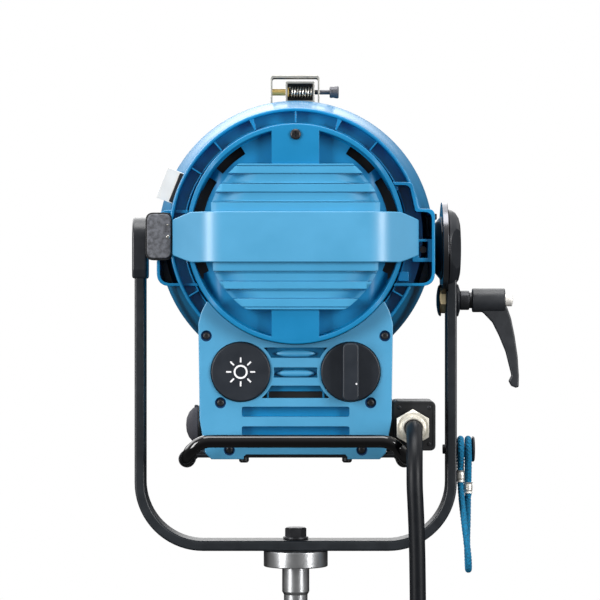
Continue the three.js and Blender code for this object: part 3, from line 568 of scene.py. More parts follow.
GLOSS_SOCKETS = ("Specular IOR Level", "Coat Weight", "Coat Roughness")
FINISHES = {
    # colour, roughness, metal, change of colour, grain, grain's height in metres, drift, then GLOSS_SOCKETS
    "housing_blue": ((0.035, 0.285, 0.51), 0.5, 0, 0.035, 1500, 0.000012, 25, 1.0, 0.6, 0.3),
    "housing_satin": ((0.03, 0.27, 0.49), 0.62, 0, 0.035, 1500, 0.000012, 25, 0.6, 0.12, 0.4),
    # The next finish is the housing blue made darker: painted shade for the cover's recessed dish.
    "housing_mid": ((0.0, 0.175, 0.38), 0.5, 0, 0.035, 1500, 0.000012, 25, 0.3, 0.15, 0.35),
    # The next finish is the housing blue made deeper: painted shade for the drum and the vent baffle.
    "housing_deep": ((0.0, 0.19, 0.41), 0.45, 0, 0.035, 1500, 0.000012, 25, 0.3, 0.5, 0.12),
    "stirrup_black": ((0.012, 0.015, 0.019), 0.38, 0, 0.12, 1600, 0.00003, 60),
    "tube_gloss_black": ((0.001, 0.001, 0.0015), 0.14, 0, 0.1, 300, 0.000004, 50, 0.4, 0.6, 0.05),
    "spigot_metal": ((0.6, 0.61, 0.62), 0.3, 1.0, 0.05, 1800, 0.00001, 80),
    "dark_steel": ((0.035, 0.036, 0.04), 0.36, 0.6, 0.15, 1600, 0.00002, 90),
    "bright_steel": ((0.64, 0.62, 0.57), 0.28, 1.0, 0.05, 1800, 0.00001, 80),
    "plunger_metal": ((0.72, 0.5, 0.16), 0.34, 0.5, 0.08, 1800, 0.00001, 120),
    "brass": ((0.86, 0.7, 0.42), 0.3, 0.75, 0.08, 1800, 0.00001, 120),
    "cover_plastic": ((0.012, 0.014, 0.018), 0.34, 0, 0.1, 2200, 0.00004, 70),
    "lever_plastic": ((0.018, 0.02, 0.024), 0.42, 0, 0.1, 2400, 0.00006, 70),
    "knob_plastic": ((0.008, 0.012, 0.019), 0.45, 0, 0.06, 2400, 0.00003, 60),
    "dark_plastic": ((0.006, 0.0065, 0.008), 0.45, 0, 0.1, 2000, 0.00004, 60),
    "block_grey": ((0.085, 0.088, 0.1), 0.62, 0, 0.45, 420, 0.0005, 240),
    "crimp_metal": ((0.8, 0.78, 0.72), 0.36, 0.7, 0.1, 1500, 0.00002, 200),
    "rope_blue": ((0.0, 0.15, 0.3), 0.85, 0, 0.45, 2600, 0.0001, 700),
    "cable_rubber": ((0.004, 0.005, 0.007), 0.42, 0, 0.12, 1400, 0.00003, 70, 0.22),
    "connector_metal": ((0.4, 0.41, 0.42), 0.34, 1.0, 0.06, 1800, 0.00001, 90),
    "carriage_metal": ((0.55, 0.56, 0.57), 0.36, 1.0, 0.05, 1500, 0.00002, 90),
    "ceramic": ((0.78, 0.75, 0.68), 0.6, 0, 0.04, 900, 0.00005, 90),
    "mirror": ((0.88, 0.88, 0.89), 0.06, 1.0, 0.01, 500, 0.000004, 60),
    "pale_zinc": ((0.96, 0.93, 0.88), 0.45, 0.35, 0.02, 1200, 0.00001, 60),
    "matt_grey": ((0.055, 0.055, 0.065), 0.75, 0, 0.06, 2400, 0.00003, 60, 0.2),
    # The next finish is a dark navy: painted shade inside the panel's screw sinks.
    "sink_blue": ((0.0, 0.03, 0.1), 0.5, 0, 0.05, 1500, 0.000012, 25),
    "worn_steel": ((0.09, 0.09, 0.1), 0.4, 0.6, 0.05, 1800, 0.00001, 80),
    "bail_steel": ((0.5, 0.48, 0.43), 0.36, 0.75, 0.06, 900, 0.00002, 120),
    "cream_steel": ((0.66, 0.63, 0.55), 0.38, 0.45, 0.12, 700, 0.00004, 160),
    "disc_steel": ((0.13, 0.13, 0.14), 0.22, 1.0, 0.06, 1500, 0.00001, 80),
    "white_print": ((0.82, 0.82, 0.84), 0.5, 0, 0.02, 2500, 0.00001, 90),
}
MATERIALS = {name: surface(name, *values) for name, values in FINISHES.items()}
MATERIALS["lens_glass"] = glass("lens_glass", (0.93, 0.97, 0.97), 0.03)
MATERIALS["lamp_glass"] = glass("lamp_glass", (0.95, 0.96, 0.96), 0.02)

NODE_SLOTS = {row["node"]: row["material_slot"] for row in record["subparts"]}
NODE_BODIES = {node: body for body, nodes in record["behaviour"]["bodies"].items() for node in nodes}


def finished(made, name, like, slot=None, finish=None, smooth=35, rides=True, replaces=None):
    """Turns a loose shape into a named piece that rides with a CAD node and, by default, stands for it."""
    slot = slot or NODE_SLOTS[like]
    replaces = [like] if replaces is None else replaces
    made.name = name
    made.data.name = name
    made.data.transform(Matrix.Scale(MM, 4))
    made.data.materials.clear()
    made.data.materials.append(MATERIALS[finish or slot])
    for polygon in made.data.polygons:
        polygon.use_smooth = True
    made.data.set_sharp_from_angle(angle=math.radians(smooth))
    weigh = made.modifiers.new("weigh", "WEIGHTED_NORMAL")
    weigh.keep_sharp = True
    settle(made)
    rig.slot(made, slot)
    if rides:
        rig.ride(made, NODE_BODIES[like])
    if replaces:
        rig.replaces(made, *replaces)
    return made


def extra(made, name, like, **looks):
    """A piece that rides with a CAD node without standing for it."""
    return finished(made, name, like, replaces=(), **looks)


def piece(like, **looks):
    """Makes the function below it a piece of the function's name that stands for a CAD node."""
    return lambda build: finished(build(), build.__name__, like, **looks)


def detail(like, **looks):
    """Makes the function below it a piece of the function's name that only rides with a CAD node."""
    return lambda build: extra(build(), build.__name__, like, **looks)


# ---- cords: the lamp cable

CABLE_ROUTE = [(0.1177, -0.0816, 0.1457), (0.1177, -0.092, 0.1456), (0.1176, -0.104, 0.1436),
               (0.1174, -0.116, 0.1388), (0.1171, -0.128, 0.1304), (0.1167, -0.137, 0.1196),
               (0.1164, -0.1432, 0.106), (0.1164, -0.1462, 0.092), (0.1171, -0.147, 0.076),
               (0.1181, -0.147, 0.052), (0.1188, -0.147, 0.026), (0.1192, -0.147, 0),
               (0.1195, -0.147, -0.03), (0.1197, -0.147, -0.07), (0.1198, -0.147, -0.12),
               (0.1198, -0.147, -0.18), (0.1198, -0.147, -0.24), (0.1198, -0.147, -0.3),
               (0.1198, -0.147, -0.36), (0.1198, -0.147, -0.416)]
CABLE_RADIUS = 8.0


def in_metres(points):
    return [tuple(c * MM for c in p) for p in points]


cable_line = smooth_line([tuple(c / MM for c in p) for p in CABLE_ROUTE], 12)
lamp_cable = tube(cable_line, CABLE_RADIUS, 32)
finished(lamp_cable, "lamp_cable_sheath", "lamp_cable", rides=False)

PLUG_X, PLUG_Y = CABLE_ROUTE[-1][0] / MM, CABLE_ROUTE[-1][1] / MM
PLUG_TOP = CABLE_ROUTE[-1][2] / MM
PLUG_LOW = corners("cable_connector")[0].z
COIN_EDGE_DEPTH = 0.35


def plug_body():
    """The clamp nut, the shell and the rim of the plug, from the top down."""
    upper = ((9.6, GAP), (12.4, 8), (12.4, 26), (17, 30), (19, 34), (19, 52), (17.6, 54))
    profile = [(radius, PLUG_TOP - down) for radius, down in upper]
    profile += [(17.6, PLUG_LOW), (14.4, PLUG_LOW), (14.4, PLUG_LOW + 3)]
    body = lathe(profile, "Z", (PLUG_X, PLUG_Y), 72, 0.8)
    flats = []
    for angle in turns(12):
        flat = block((PLUG_X - 2, PLUG_X + 2), (PLUG_Y + 17.9, PLUG_Y + 22), (PLUG_TOP - 50, PLUG_TOP - 35),
                     1.2, 0.3)
        flats.append(spun(flat, "Z", (PLUG_X, PLUG_Y), angle))
    return cut(body, joined(*flats))


def plug_pins():
    """Seven contacts on the floor of the rim."""
    spots = [(0, 0)] + [circle_point(8.5, 60 * i) for i in range(6)]
    top = PLUG_LOW + 3.2
    profile = [(1.5, top), (1.5, PLUG_LOW + 0.8), (1, PLUG_LOW + 0.3)]
    return joined(*[lathe(profile, "Z", (PLUG_X + a, PLUG_Y + b), 16) for a, b in spots])


def knurled_ring():
    """The coupling ring, with a coin edge in two bands."""
    low, high = corners("connector_ring")
    sides = 144
    outline = [(18, low.z), (21.6, low.z), (22.4, low.z + 1), (22.4, low.z + 9), (21.2, low.z + 10),
               (21.2, low.z + 12.5), (22.4, low.z + 13.5), (22.4, high.z - 1), (21.6, high.z), (18, high.z)]
    rows = []
    for radius, z in outline:
        reaches = [radius - (COIN_EDGE_DEPTH if side % 3 == 0 and radius > 22 else 0)
                   for side in range(sides)]
        rows.append([(PLUG_X + reach * math.cos(angle), PLUG_Y + reach * math.sin(angle), z)
                     for reach, angle in zip(reaches, turns(sides))])
    return lofted(rows, "joined")


plug = finished(plug_body(), "plug_shell", "cable_connector")
pins = extra(plug_pins(), "plug_pins", "cable_connector", slot="brass")
coupling = finished(knurled_ring(), "plug_coupling_ring", "connector_ring")
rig.cord(lamp_cable, exit=CABLE_ROUTE[0], length=0.602, diameter=0.016, far_end="connector",
        stiffness="medium", lay="hanging", path=in_metres(cable_line), with_pieces=[plug, pins, coupling])
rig.blend(lamp_cable, "head", "stirrup", start=(0.1177, -0.086, 0.1457), end=(0.1198, -0.147, -0.36))


# ---- cords: the cable strap

ROPE_RADIUS = 3.2
PEG_Z = middle_z("rope_peg")
EYE_RADIUS = 10.4
EYE_X = (169.7, 177.5)
LEG_Y = 3.7
CRIMP_Z = ((87.2, 98.9), (75.6, 86.7))


def strap_route():
    """The rope's points: up round one eye, down and round the bottom, up and round the other eye."""
    def eye(x):
        return [(x, y, z) for y, z in arc(EYE_RADIUS, 0, 180, 6, (0, PEG_Z))]

    def leg(x, span, side):
        low, high = span
        straight = [(x, side * LEG_Y, z) for z in (low - 3, low + 1, (low + high) / 2, high + 0.5)]
        return straight + [(x, side * (LEG_Y + 0.9), high + 4), (x, side * 8.4, (high + 3 + PEG_Z) / 2 + 1)]

    xa, xb = EYE_X
    inner, outer = CRIMP_Z
    return [*leg(xa, inner, 1), *eye(xa), *reversed(leg(xa, inner, -1)), (xa + 0.6, -4.4, 74),
            (xa + 2.6, -7.5, 52), (xa + 5.4, -11, 28), (xa + 7.4, -11.6, 10), (xa + 8, -7.6, 0),
            (xa + 8.1, 0, -3.6), (xa + 8.1, 7.6, 0), (xa + 7.9, 11.6, 10), (xa + 7.5, 11, 28), (xb, 7.5, 48),
            (xb, 4.4, 66), *leg(xb, outer, 1), *eye(xb), *reversed(leg(xb, outer, -1))]


def braid(distance, angle):
    """Eight strands wound each way, as a change of radius."""
    pitch = 7.0
    one = abs(math.sin(2 * angle + TURN * distance / pitch))
    other = abs(math.sin(2 * angle - TURN * distance / pitch))
    return 0.84 + 0.24 * max(one, other) ** 2


strap_line = smooth_line(strap_route(), 14)
strap_rope = tube(strap_line, ROPE_RADIUS, 24, braid)
finished(strap_rope, "strap_rope_braid", "strap_rope", smooth=60)


def crimp(x, span):
    """An oval sleeve pressed round both legs in three places."""
    low, high = span
    presses, steps, wall = 3, 24, 0.9
    bore = ROPE_RADIUS + 0.3

    def loop(t, reach):
        across = [(reach * math.sin(angle), math.cos(angle)) for angle in turns(48)]
        return [(x + a, reach * b + math.copysign(LEG_Y, b) * min(1, abs(b) * 4), low + (high - low) * t)
                for a, b in across]

    def outside(t):
        pressed = 0.55 * max(0, math.sin(math.pi * presses * t)) ** 4
        flared = 0.35 * abs(2 * t - 1) ** 10
        return loop(t, bore + wall - pressed + flared)

    places = [step / steps for step in range(steps + 1)]
    return lofted([outside(t) for t in places] + [loop(t, bore) for t in reversed(places)], "joined")


sleeves = [finished(crimp(x, span), f"strap_sleeve_{place}", f"strap_crimp_{place}")
           for x, span, place in zip(EYE_X, CRIMP_Z, ("inner", "outer"))]
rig.cord(strap_rope, exit=in_metres([strap_line[0]])[0], length=0.415, diameter=0.0064, far_end="object",
        stiffness="limp", lay="hanging", path=in_metres(strap_line), with_pieces=sleeves)


# ---- stirrup, spigot and bolt

ARM_OUTER = corners("stirrup_bar")[1].x
ARM_INNER = 154.4
BAR_LOW = corners("stirrup_bar")[0].z
BAR_HIGH = 27.6
BAR_HALF_DEPTH = corners("stirrup_bar")[1].y
BEND_RADIUS = 70
POCKET_X = 156.2
DISC_RADIUS = corners("brake_disc")[1].y
RIGHT_ARM = (140, 180)
LEFT_ARM = (-180, -140)
TRUNNION_HOLE = 10.3
LEFT_PIN_HOLE = 8.4
SPINDLE_HOLE = 5.4
BOLT_HOLE = 6.4


def hole(radius, axis, span, place, sides=32):
    """A plain round cutter along an axis through a place in the other two."""
    return lathe([(radius, span[0]), (radius, span[1])], axis, place, sides)


def round_topped(half_width, low, centre):
    """An upright strip with a round top about (0, centre), in y and z."""
    return [(-half_width, low), (half_width, low), *arc(half_width, 0, 180, 24, (0, centre))]


@piece("stirrup_bar")
def stirrup():
    bend = (ARM_OUTER - BEND_RADIUS, BAR_LOW + BEND_RADIUS)
    inner = BEND_RADIUS - (BAR_HIGH - BAR_LOW)
    top = TILT.z + BAR_HALF_DEPTH
    outside = [*arc(BEND_RADIUS, -90, 0, 18, bend), (ARM_OUTER, top)]
    inside = [(ARM_INNER, top), *arc(inner, 0, -90, 18, bend)]
    bar = prism(mirrored(outside + inside), "Y", (-BAR_HALF_DEPTH, BAR_HALF_DEPTH), 2.2, steps=3)
    ends = prism(round_topped(BAR_HALF_DEPTH + 0.05, 0, TILT.z), "X", (-200, 200), 0.05)
    pocket = hole(DISC_RADIUS + 0.8, "X", (140, POCKET_X), (0, TILT.z), 96)
    trunnion = hole(TRUNNION_HOLE, "X", RIGHT_ARM, (0, TILT.z))
    pin = hole(LEFT_PIN_HOLE, "X", LEFT_ARM, (0, TILT.z))
    spindle = hole(SPINDLE_HOLE, "X", RIGHT_ARM, (0, BRAKE.z))
    bolt = hole(BOLT_HOLE, "Z", (0, 40), (0, 0))
    return cut(within(bar, ends), pocket, trunnion, pin, spindle, bolt)


@piece("spigot")
def spigot_pin():
    low = corners("spigot")[0].z
    profile = [(0, BAR_LOW - GAP, 0), (33, BAR_LOW - GAP, 1.2), (33, 0, 1.2), (14, 0, 1.0), (14, -26, 0.8),
               (12.2, -29, 0.8), (12.2, -50, 0.8), (14, -53, 0.8), (14, 4 + low, 0.6), (11, low, 0.6),
               (0, low, 0)]
    bored = lathe(profile, "Z", sides=96, radius=1)
    return cut(bored, hole(BOLT_HOLE, "Z", (-24, 30), (0, 0)), hole(1.6, "X", (12, 40), (0, 8)))


def hexagon_head(radius, axis, base, top, place, start=0.0):
    """A hexagon whose far edge is chamfered by a cone, as on a nut or a bolt."""
    outline = [circle_point(radius, start + 60 * i, place) for i in range(6)]
    away = 1 if top > base else -1
    cone = lathe([(radius + 1, base - away), (radius + 1, top - away * radius * 0.16), (radius * 0.84, top)],
                 axis, place, 64)
    return within(prism(outline, axis, (min(base, top), max(base, top)), 0.15), cone)


@piece("spigot_bolt")
def spigot_hex_bolt():
    washer_top = BAR_HIGH + GAP + 2.4
    washer = lathe([(13, BAR_HIGH + GAP), (13, washer_top)], "Z", radius=0.7)
    shank = lathe([(6, -20), (6, washer_top)], "Z", sides=32)
    head = hexagon_head(11, "Z", washer_top - 0.2, washer_top + 9.6, (0, 0))
    return joined(washer, shank, head)


# ---- arm covers

COVER_CENTRE_Z = 326.4


def arm_channel(x, low):
    """The room for a round-topped arm end inside a cover."""
    return prism(round_topped(BAR_HALF_DEPTH + GAP, low, TILT.z), "X", x, 0.1)


@piece("left_arm_cover")
def left_arm_cap():
    """A cap with a round top and a tapered foot."""
    low, high = corners("left_arm_cover")
    half = high.y
    outline = [(-half + 2, low.z - 1, 3), (half - 2, low.z - 1, 3), (half, low.z + 8, 6)]
    outline += arc(half, 0, 180, 24, (0, high.z - half)) + [(-half, low.z + 8, 6)]
    shell = prism(fillet(outline, 0), "X", (low.x, high.x), 2.4, steps=4)
    return cut(shell, arm_channel((-ARM_OUTER - GAP, -ARM_INNER + GAP), 280),
               hole(8.6, "X", (-160, -140), (0, TILT.z)))


@piece("right_arm_cover")
def right_arm_cap():
    rim = POCKET_X + GAP
    profile = [(0, 169.2), (20, 169.2), (27, 168.7), (32.1, 167.4), (37.4, 164.0), (40, 160),
               (40.9, rim + 0.4), (40.5, rim), (0, rim)]
    dome = lathe(profile, "X", (0, COVER_CENTRE_Z), 128, 1.5)
    facet = prism([(155, -44.3), (157.6, -40.5), (176, -13.8), (190, -13.8), (190, -60), (155, -60)], "Z",
                  (270, 380), 0.1)
    channel = arm_channel((150, ARM_OUTER + GAP), 250)
    shell = cut(dome, facet, channel, hole(17.4, "X", (150, 180), (0, BRAKE.z)))
    return bevelled(shell, 0.5, 14)


# ---- tilt brake

NUT_RADIUS = 13.8
NUT_X = (147.5, 154.0)
DISC_X = (149.8, 155.6)


def disc_clearance():
    return hole(DISC_RADIUS + 0.6, "X", (DISC_X[0] - GAP, 160), (0, TILT.z), 96)


@piece("brake_inner_jaw")
def brake_jaw():
    """A domed cup over the nut, cut away at the back where the nut shows."""
    rim = DISC_X[0] - GAP
    cup = lathe([(0, 144.8, 0), (6, 145, 4), (11, 145.7, 4), (14.6, 146.6, 3), (16.4, 148.2, 0.4),
                 (16.4, rim, 0.1), (14.2, rim, 0.1), (14.2, NUT_X[0] - GAP, 0.1)], "X", (0, BRAKE.z), 96,
                0.5)
    return cut(cup, block((NUT_X[0] - GAP, 152), (-20, -5), (BRAKE.z - 14, BRAKE.z + 14), 1, 0.2))


@piece("brake_nut")
def brake_hex_nut():
    body = hexagon_head(NUT_RADIUS, "X", NUT_X[1], NUT_X[0], (0, BRAKE.z), 17)
    return cut(body, hole(SPINDLE_HOLE, "X", (140, 160), (0, BRAKE.z)), disc_clearance())


@piece("brake_outer_washer")
def brake_washer():
    base = ARM_OUTER + GAP
    return ring([(5.4, base, 0.2), (16.6, base, 0.5), (16.6, 167.2, 0.6), (11, 168.9, 1), (5.4, 168.9, 0.2)],
                "X", (0, BRAKE.z), 72, 0.5)


@piece("brake_spindle")
def brake_shaft():
    start = NUT_X[0] + 0.3
    return lathe([(5, start, 0.4), (5, 169.3, 0.1), (10, 169.3, 0.6), (10, 178.2, 0.8), (8.2, 178.8, 0.2),
                  (8.2, 181.2, 0.4)], "X", (0, BRAKE.z), 64, 0.5)


@piece("brake_lever")
def brake_handle():
    """A round hub with an arm that hangs from it and curls outwards."""
    low, high = 181.6, 215.4
    hub = lathe([(12.3, low, 1.4), (12.3, high, 1.6)], "X", (0, BRAKE.z), 96, 1)
    arm = [(190, 263), (194.3, 259.6, 6), (202.6, 250.8, 8), (209.4, 237.2, 12), (216.2, 220.6, 14),
           (221.5, 199.5, 8), (222.2, 196.4, 2), (219.3, 190.5, 2), (222, 185.4, 2), (226.1, 183.7, 1.5),
           (229.4, 184.4, 2), (229.6, 196.4, 8), (228.3, 216.1, 14), (225.2, 237.2, 14), (221.5, 255.4, 10),
           (217.7, 266, 5), (215.2, 270), (190, 270)]
    blade = prism(fillet(arm, 4), "Y", (-5.5, 5.5), 1.6, steps=3)
    whole = welded(hub, blade)
    return cut(whole, hole(6.6, "X", (205, 226), (0, BRAKE.z), 48), hole(4, "X", (181, 190), (0, BRAKE.z)))


@piece("lever_button", finish="pale_zinc")
def brake_button():
    return lathe([(6.2, 208.5, 0.4), (6.2, 222.6, 0.9), (3, 223.5, 2)], "X", (0, BRAKE.z), 48, 0.4)


# ---- rope peg

@piece("rope_peg")
def strap_peg():
    base = ARM_OUTER + GAP
    return lathe([(12, 184, 0.6), (13.5, 182.4, 0.5), (12.6, 181.6, 0.3), (6.8, 181.6, 0.8),
                  (6.8, base, 0.4), (3, base, 0.2), (3, ARM_INNER - 2.8, 0.4)], "X", (0, PEG_Z), 64, 0.5)


@piece("rope_peg_nut")
def strap_peg_nut():
    start, stop = ARM_INNER - 3.2, ARM_INNER - GAP
    return ring([(3.4, start, 0.3), (5, start, 1.6), (5, stop, 0.3), (3.4, stop, 0.2)], "X", (0, PEG_Z), 40,
                0.4)


# ---- drum

BELL_RADIUS = 146.5
BELL_OUTER = [(128, -58), (129.5, -30), (133, 0), (139, 40), (144.5, 80), (BELL_RADIUS, 100),
              (BELL_RADIUS, 112)]
BELL_WALL = 3.5
AIR_RING_RADIUS = 111.5
RIB_ANGLES = (0, 21, 41.3, 120, 140, 160, 180, 200, 220, 240, 302.7, 318.7, 339)
DRUM_SIDES = 144
OPTIC = (0, OPTIC_Z)
# the way for air and wires from the lower housing up into the drum
THROAT = ((-26, 26), (-42, 86), (180, 240))

bell_line = [tuple(p) for p in smooth_line(BELL_OUTER, 5)]


def cheek_outline(side, inset):
    """The outline of one side cheek; only the right one has a shoulder."""
    edge = 140.6 - inset
    low = 288 + inset
    lower = [(80, low), (edge, low, 14 - inset)]
    if side > 0:
        upper = [(edge, 366 - inset, 17 - inset), (124 - inset, 366 - inset, 3),
                 (118 - inset, 393 - inset, 7), (80, 393 - inset)]
    else:
        upper = [(edge, 365 - inset, 12 - inset), (80, 365 - inset)]
    return [(side * x, z) for x, z in fillet(lower + upper, 0, 8)]


FLOOR_Y = DRUM_BACK_Y - 9


def drum_core(inset):
    """The drum as one solid, set in by an amount, with only the air ring's inside at its back."""
    profile = [(0, -75), (AIR_RING_RADIUS, -75), (AIR_RING_RADIUS, DRUM_BACK_Y)]
    profile += [(r - inset, y) for r, y in bell_line if y > DRUM_BACK_Y]
    profile += [(BELL_RADIUS - inset, 140), (0, 140)]
    return lathe(profile, "Y", OPTIC, DRUM_SIDES)


def cheek(side, back):
    """A hollow box on one side of the drum, open at the back."""
    hollow = prism(cheek_outline(side, 3), "Y", (back - 5, 22), 0.3)
    shell = cut(prism(cheek_outline(side, 0), "Y", (back, 25), 0.8), hollow)
    return cut(shell, drum_core(1))


def bell():
    """The drum's wall, with the air ring's floor at its back."""
    outer = [(128, -58, 1.8)] + [(r, y, 0) for r, y in bell_line[1:]] + [(BELL_RADIUS, FRONT_Y, 0.5)]
    inner = [(BELL_RADIUS - BELL_WALL, FRONT_Y, 0.5)]
    inner += [(r - BELL_WALL, y, 0) for r, y in reversed(bell_line) if y > -22]
    ledge = AIR_RING_RADIUS + 1
    floor = [(125.6, DRUM_BACK_Y + 4, 0), (AIR_RING_RADIUS, DRUM_BACK_Y + 4, 0),
             (AIR_RING_RADIUS, DRUM_BACK_Y, 0.4), (ledge, DRUM_BACK_Y, 0.2), (ledge, FLOOR_Y - 5, 0.7),
             (ledge + 1.6, FLOOR_Y - 5, 0.7), (ledge + 1.6, FLOOR_Y, 0.4), (125, FLOOR_Y, 0.8),
             (124.4, -58, 1.8)]
    return ring(outer + inner + floor, "Y", OPTIC, DRUM_SIDES, 0.6)


def rib(degrees):
    """A rib across the air ring; those at 21 degrees are wedges."""
    low, high = OPTIC_Z + 112.8, OPTIC_Z + 125.8
    wide = 2.5 if abs(degrees) == 21 or degrees == 339 else 0.8
    outline = [(-0.8, low), (0.8, low), (wide, high), (-wide, high)]
    return turned_about_optic(prism(outline, "Y", (-57, DRUM_BACK_Y + 1), 0.4), degrees)


def pivot_boss():
    """The squared boss round the right trunnion that shows inside its cheek."""
    window = rectangle(124.5, 133.6, 316.5, 333, 1)
    rim = prism(rectangle(118, 138.4, 312.5, 335.5, 1.5), "Y", (-54, -51), 0.5, [window])
    wall = block((133.6, 138.4), (-52, -20), (314, 335), 0.8, 0.5)
    sill = block((118, 138.4), (-51.5, -20), (312.5, 315.2), 0.5, 0.5)
    return joined(rim, wall, sill)


# The drum takes the deeper blue of painted shade, not the housing blue of the band and panel.
@piece("front_housing", finish="housing_deep", smooth=32)
def drum_casting():
    shell = bell()
    hollow = prism(cheek_outline(1, 2.6), "Y", (-66, DRUM_BACK_Y - 0.2), 0.1)
    hollow = cut(hollow, hole(AIR_RING_RADIUS + 1.7, "Y", (-80, 0), (0, OPTIC_Z), DRUM_SIDES))
    shell = cut(shell, hollow, block(*THROAT))
    ribs = [rib(degrees) for degrees in RIB_ANGLES]
    right = cut(cheek(1, -60), hole(10.2, "X", (134, 145), (0, TILT.z)))
    left = cut(cheek(-1, -50), hole(LEFT_PIN_HOLE, "X", (-145, -134), (0, TILT.z)))
    lit_blocks = [block((104, 114.5), (-47, DRUM_BACK_Y), (293, 302.5), 1, 0.5),
                  block((98, 104), (-50, DRUM_BACK_Y), (384.5, 390), 2, 0.8)]
    return joined(shell, right, left, *ribs, *lit_blocks, pivot_boss())


extra(lathe([(3.4, -50), (3.4, -47), (2.2, -46)], "Y", (129, 325), 24), "cheek_screw", "front_housing",
      slot="dark_steel")
extra(block((138.2, 143.2), (-44, -36), (355.5, 361.5), 1, 0.6), "cheek_stop", "front_housing",
      slot="dark_plastic")


# ---- lens and accessory brackets

@piece("lens_bezel")
def front_bezel():
    outer = BELL_RADIUS
    return ring([(outer, FRONT_Y + GAP, 0.5), (outer, 156.5, 1.5), (144, 158.5, 1.2), (122, 158.5, 1),
                 (122, FRONT_Y + GAP, 0.4)], "Y", OPTIC, DRUM_SIDES, 0.6)


@piece("fresnel_lens", smooth=20)
def stepped_lens():
    """Flat towards the lamp, with sixteen sloping steps towards the front."""
    steps = 16
    profile = [(0, 138.4), (127, 138.4), (127, 143)]
    for step in range(steps, 0, -1):
        outer = 118 * step / steps
        inner = 118 * (step - 1) / steps
        drop = 1.2 + 3.0 * step / steps
        profile += [(outer, 148.6 - drop), (inner + 0.5, 148.6)]
    return lathe([*profile, (0, 149)], "Y", OPTIC, DRUM_SIDES)


def accessory_bracket(degrees):
    """An L-shaped holder for a filter frame, drawn at the bottom and turned to its place."""
    lip, low, high = OPTIC_Z - 141, OPTIC_Z - 131.5, OPTIC_Z - 117
    profile = [(158.9, lip), (161.2, lip), (161.2, low), (176, low), (176, high), (173.6, high),
               (173.6, low + 2.6), (158.9, low + 2.6)]
    bracket = prism(fillet(profile, 1.1), "X", (-15, 15), 0.4)
    rivets = [lathe([(2.6, 161), (2.6, 161.8), (1.6, 162.6), (0, 162.9)], "Y", (x, OPTIC_Z - 136.5), 24, 0.2)
              for x in (-9, 9)]
    return turned_about_optic(joined(bracket, *rivets), degrees)


@piece("lens_retainer")
def lens_ring():
    return ring([(120, 134), (141.8, 134), (141.8, 138), (120, 138)], "Y", OPTIC, DRUM_SIDES, 0.5)


for place, degrees in (("bottom", 0), ("left", 65), ("right", -65)):
    finished(accessory_bracket(degrees), f"frame_holder_{place}", f"accessory_bracket_{place}")


# ---- side bracket

SIDE_TURN = -68.3


@piece("side_bracket", finish="pale_zinc")
def side_plate():
    """A plate with a foot, drawn at the top of the drum and turned to the -X side."""
    low, high = OPTIC_Z + 128, OPTIC_Z + 147.5
    upright = prism(rectangle(-16.5, 16.5, low, high, 0.8), "Y", (-22, -20.2), 0.3)
    foot = block((-16.5, 16.5), (-22, -6), (OPTIC_Z + 130.5, OPTIC_Z + 135.4), 0.5, 0.3)
    grown = lathe([(0, -70)] + [(r + GAP, y) for r, y in bell_line] + [(0, 112)], "Y", OPTIC, DRUM_SIDES)
    return turned_about_optic(cut(welded(upright, foot), grown), SIDE_TURN)


# A dark strip at the foot of the side bracket, on the drum: painted shade under the bracket.
@detail("side_bracket", slot="dark_plastic")
def side_gasket():
    drawn = block((-15.6, 15.6), (-24.4, -22.1), (OPTIC_Z + 129.2, OPTIC_Z + 133.4), 0.6, 0.4)
    return turned_about_optic(drawn, SIDE_TURN)


# ---- latch on top of the drum

LATCH = middle_of("latch_plunger")


def over_drum(made):
    """Cuts a shape to stand on the drum."""
    return cut(made, hole(BELL_RADIUS + GAP, "Y", (100, 160), (0, OPTIC_Z), DRUM_SIDES))


def latch_bore(radius, span):
    return hole(radius, "X", span, (LATCH.y, LATCH.z))


@piece("latch_bail", finish="bail_steel")
def latch_strap():
    outer = rectangle(-27.3, 25.5, 470, 516, 4, 8)
    inner = rectangle(-25.5, 23.7, 460, 513.4, 2.4, 8)
    strap = cut(prism(outer, "Y", (128, 150), 0.4), prism(inner, "Y", (120, 160), 0.1))
    return cut(over_drum(strap), latch_bore(4, (-30, -20)), latch_bore(2.9, (20, 30)))


@piece("latch_guide", finish="bail_steel")
def latch_cage():
    low, high = corners("latch_guide")
    outer = prism(face(low, high, 0, 1.6), "Y", (low.y, high.y), 0.4)
    window = prism(face(low, high, 2, 0.8), "Y", (low.y - 5, high.y + 5), 0.1)
    return cut(outer, window, latch_bore(4, (-15, -5)), latch_bore(2.9, (15, 25)))


@detail("latch_guide", slot="dark_plastic")
def latch_back_plate():
    """The dark plate behind the spring, inside the guide."""
    low, high = corners("latch_guide")
    return block((low.x + 2, high.x - 2), (high.y - 2, high.y - 0.6), (low.z + 2, high.z - 2), 0, 0.2)


@piece("latch_plunger")
def latch_pin():
    """The brass end of the plunger, with the collar that the spring pushes on."""
    profile = [(0, -27), (3.1, -27, 0.7), (3.6, -25.6, 0.4), (3.6, -9, 0.1), (5, -9, 0.3), (5, -7.5, 0.3),
               (0, -7.5)]
    return lathe(profile, "X", (LATCH.y, LATCH.z), 40, 0.3)


@detail("latch_plunger", slot="bright_steel", finish="worn_steel")
def latch_stem():
    return lathe([(2.5, -7.7), (2.5, 36.8)], "X", (LATCH.y, LATCH.z), 32)


@detail("latch_plunger", slot="dark_steel", finish="worn_steel")
def latch_knob():
    profile = [(0, 36.4), (5.9, 36.4, 1), (6.2, 38, 0.6), (6.0, 40.4, 1), (6.5, 42.6, 1), (6.85, 45, 0.9),
               (6, 46.2, 0.7), (0, 46.2)]
    return lathe(profile, "X", (LATCH.y, LATCH.z), 56, 0.4)


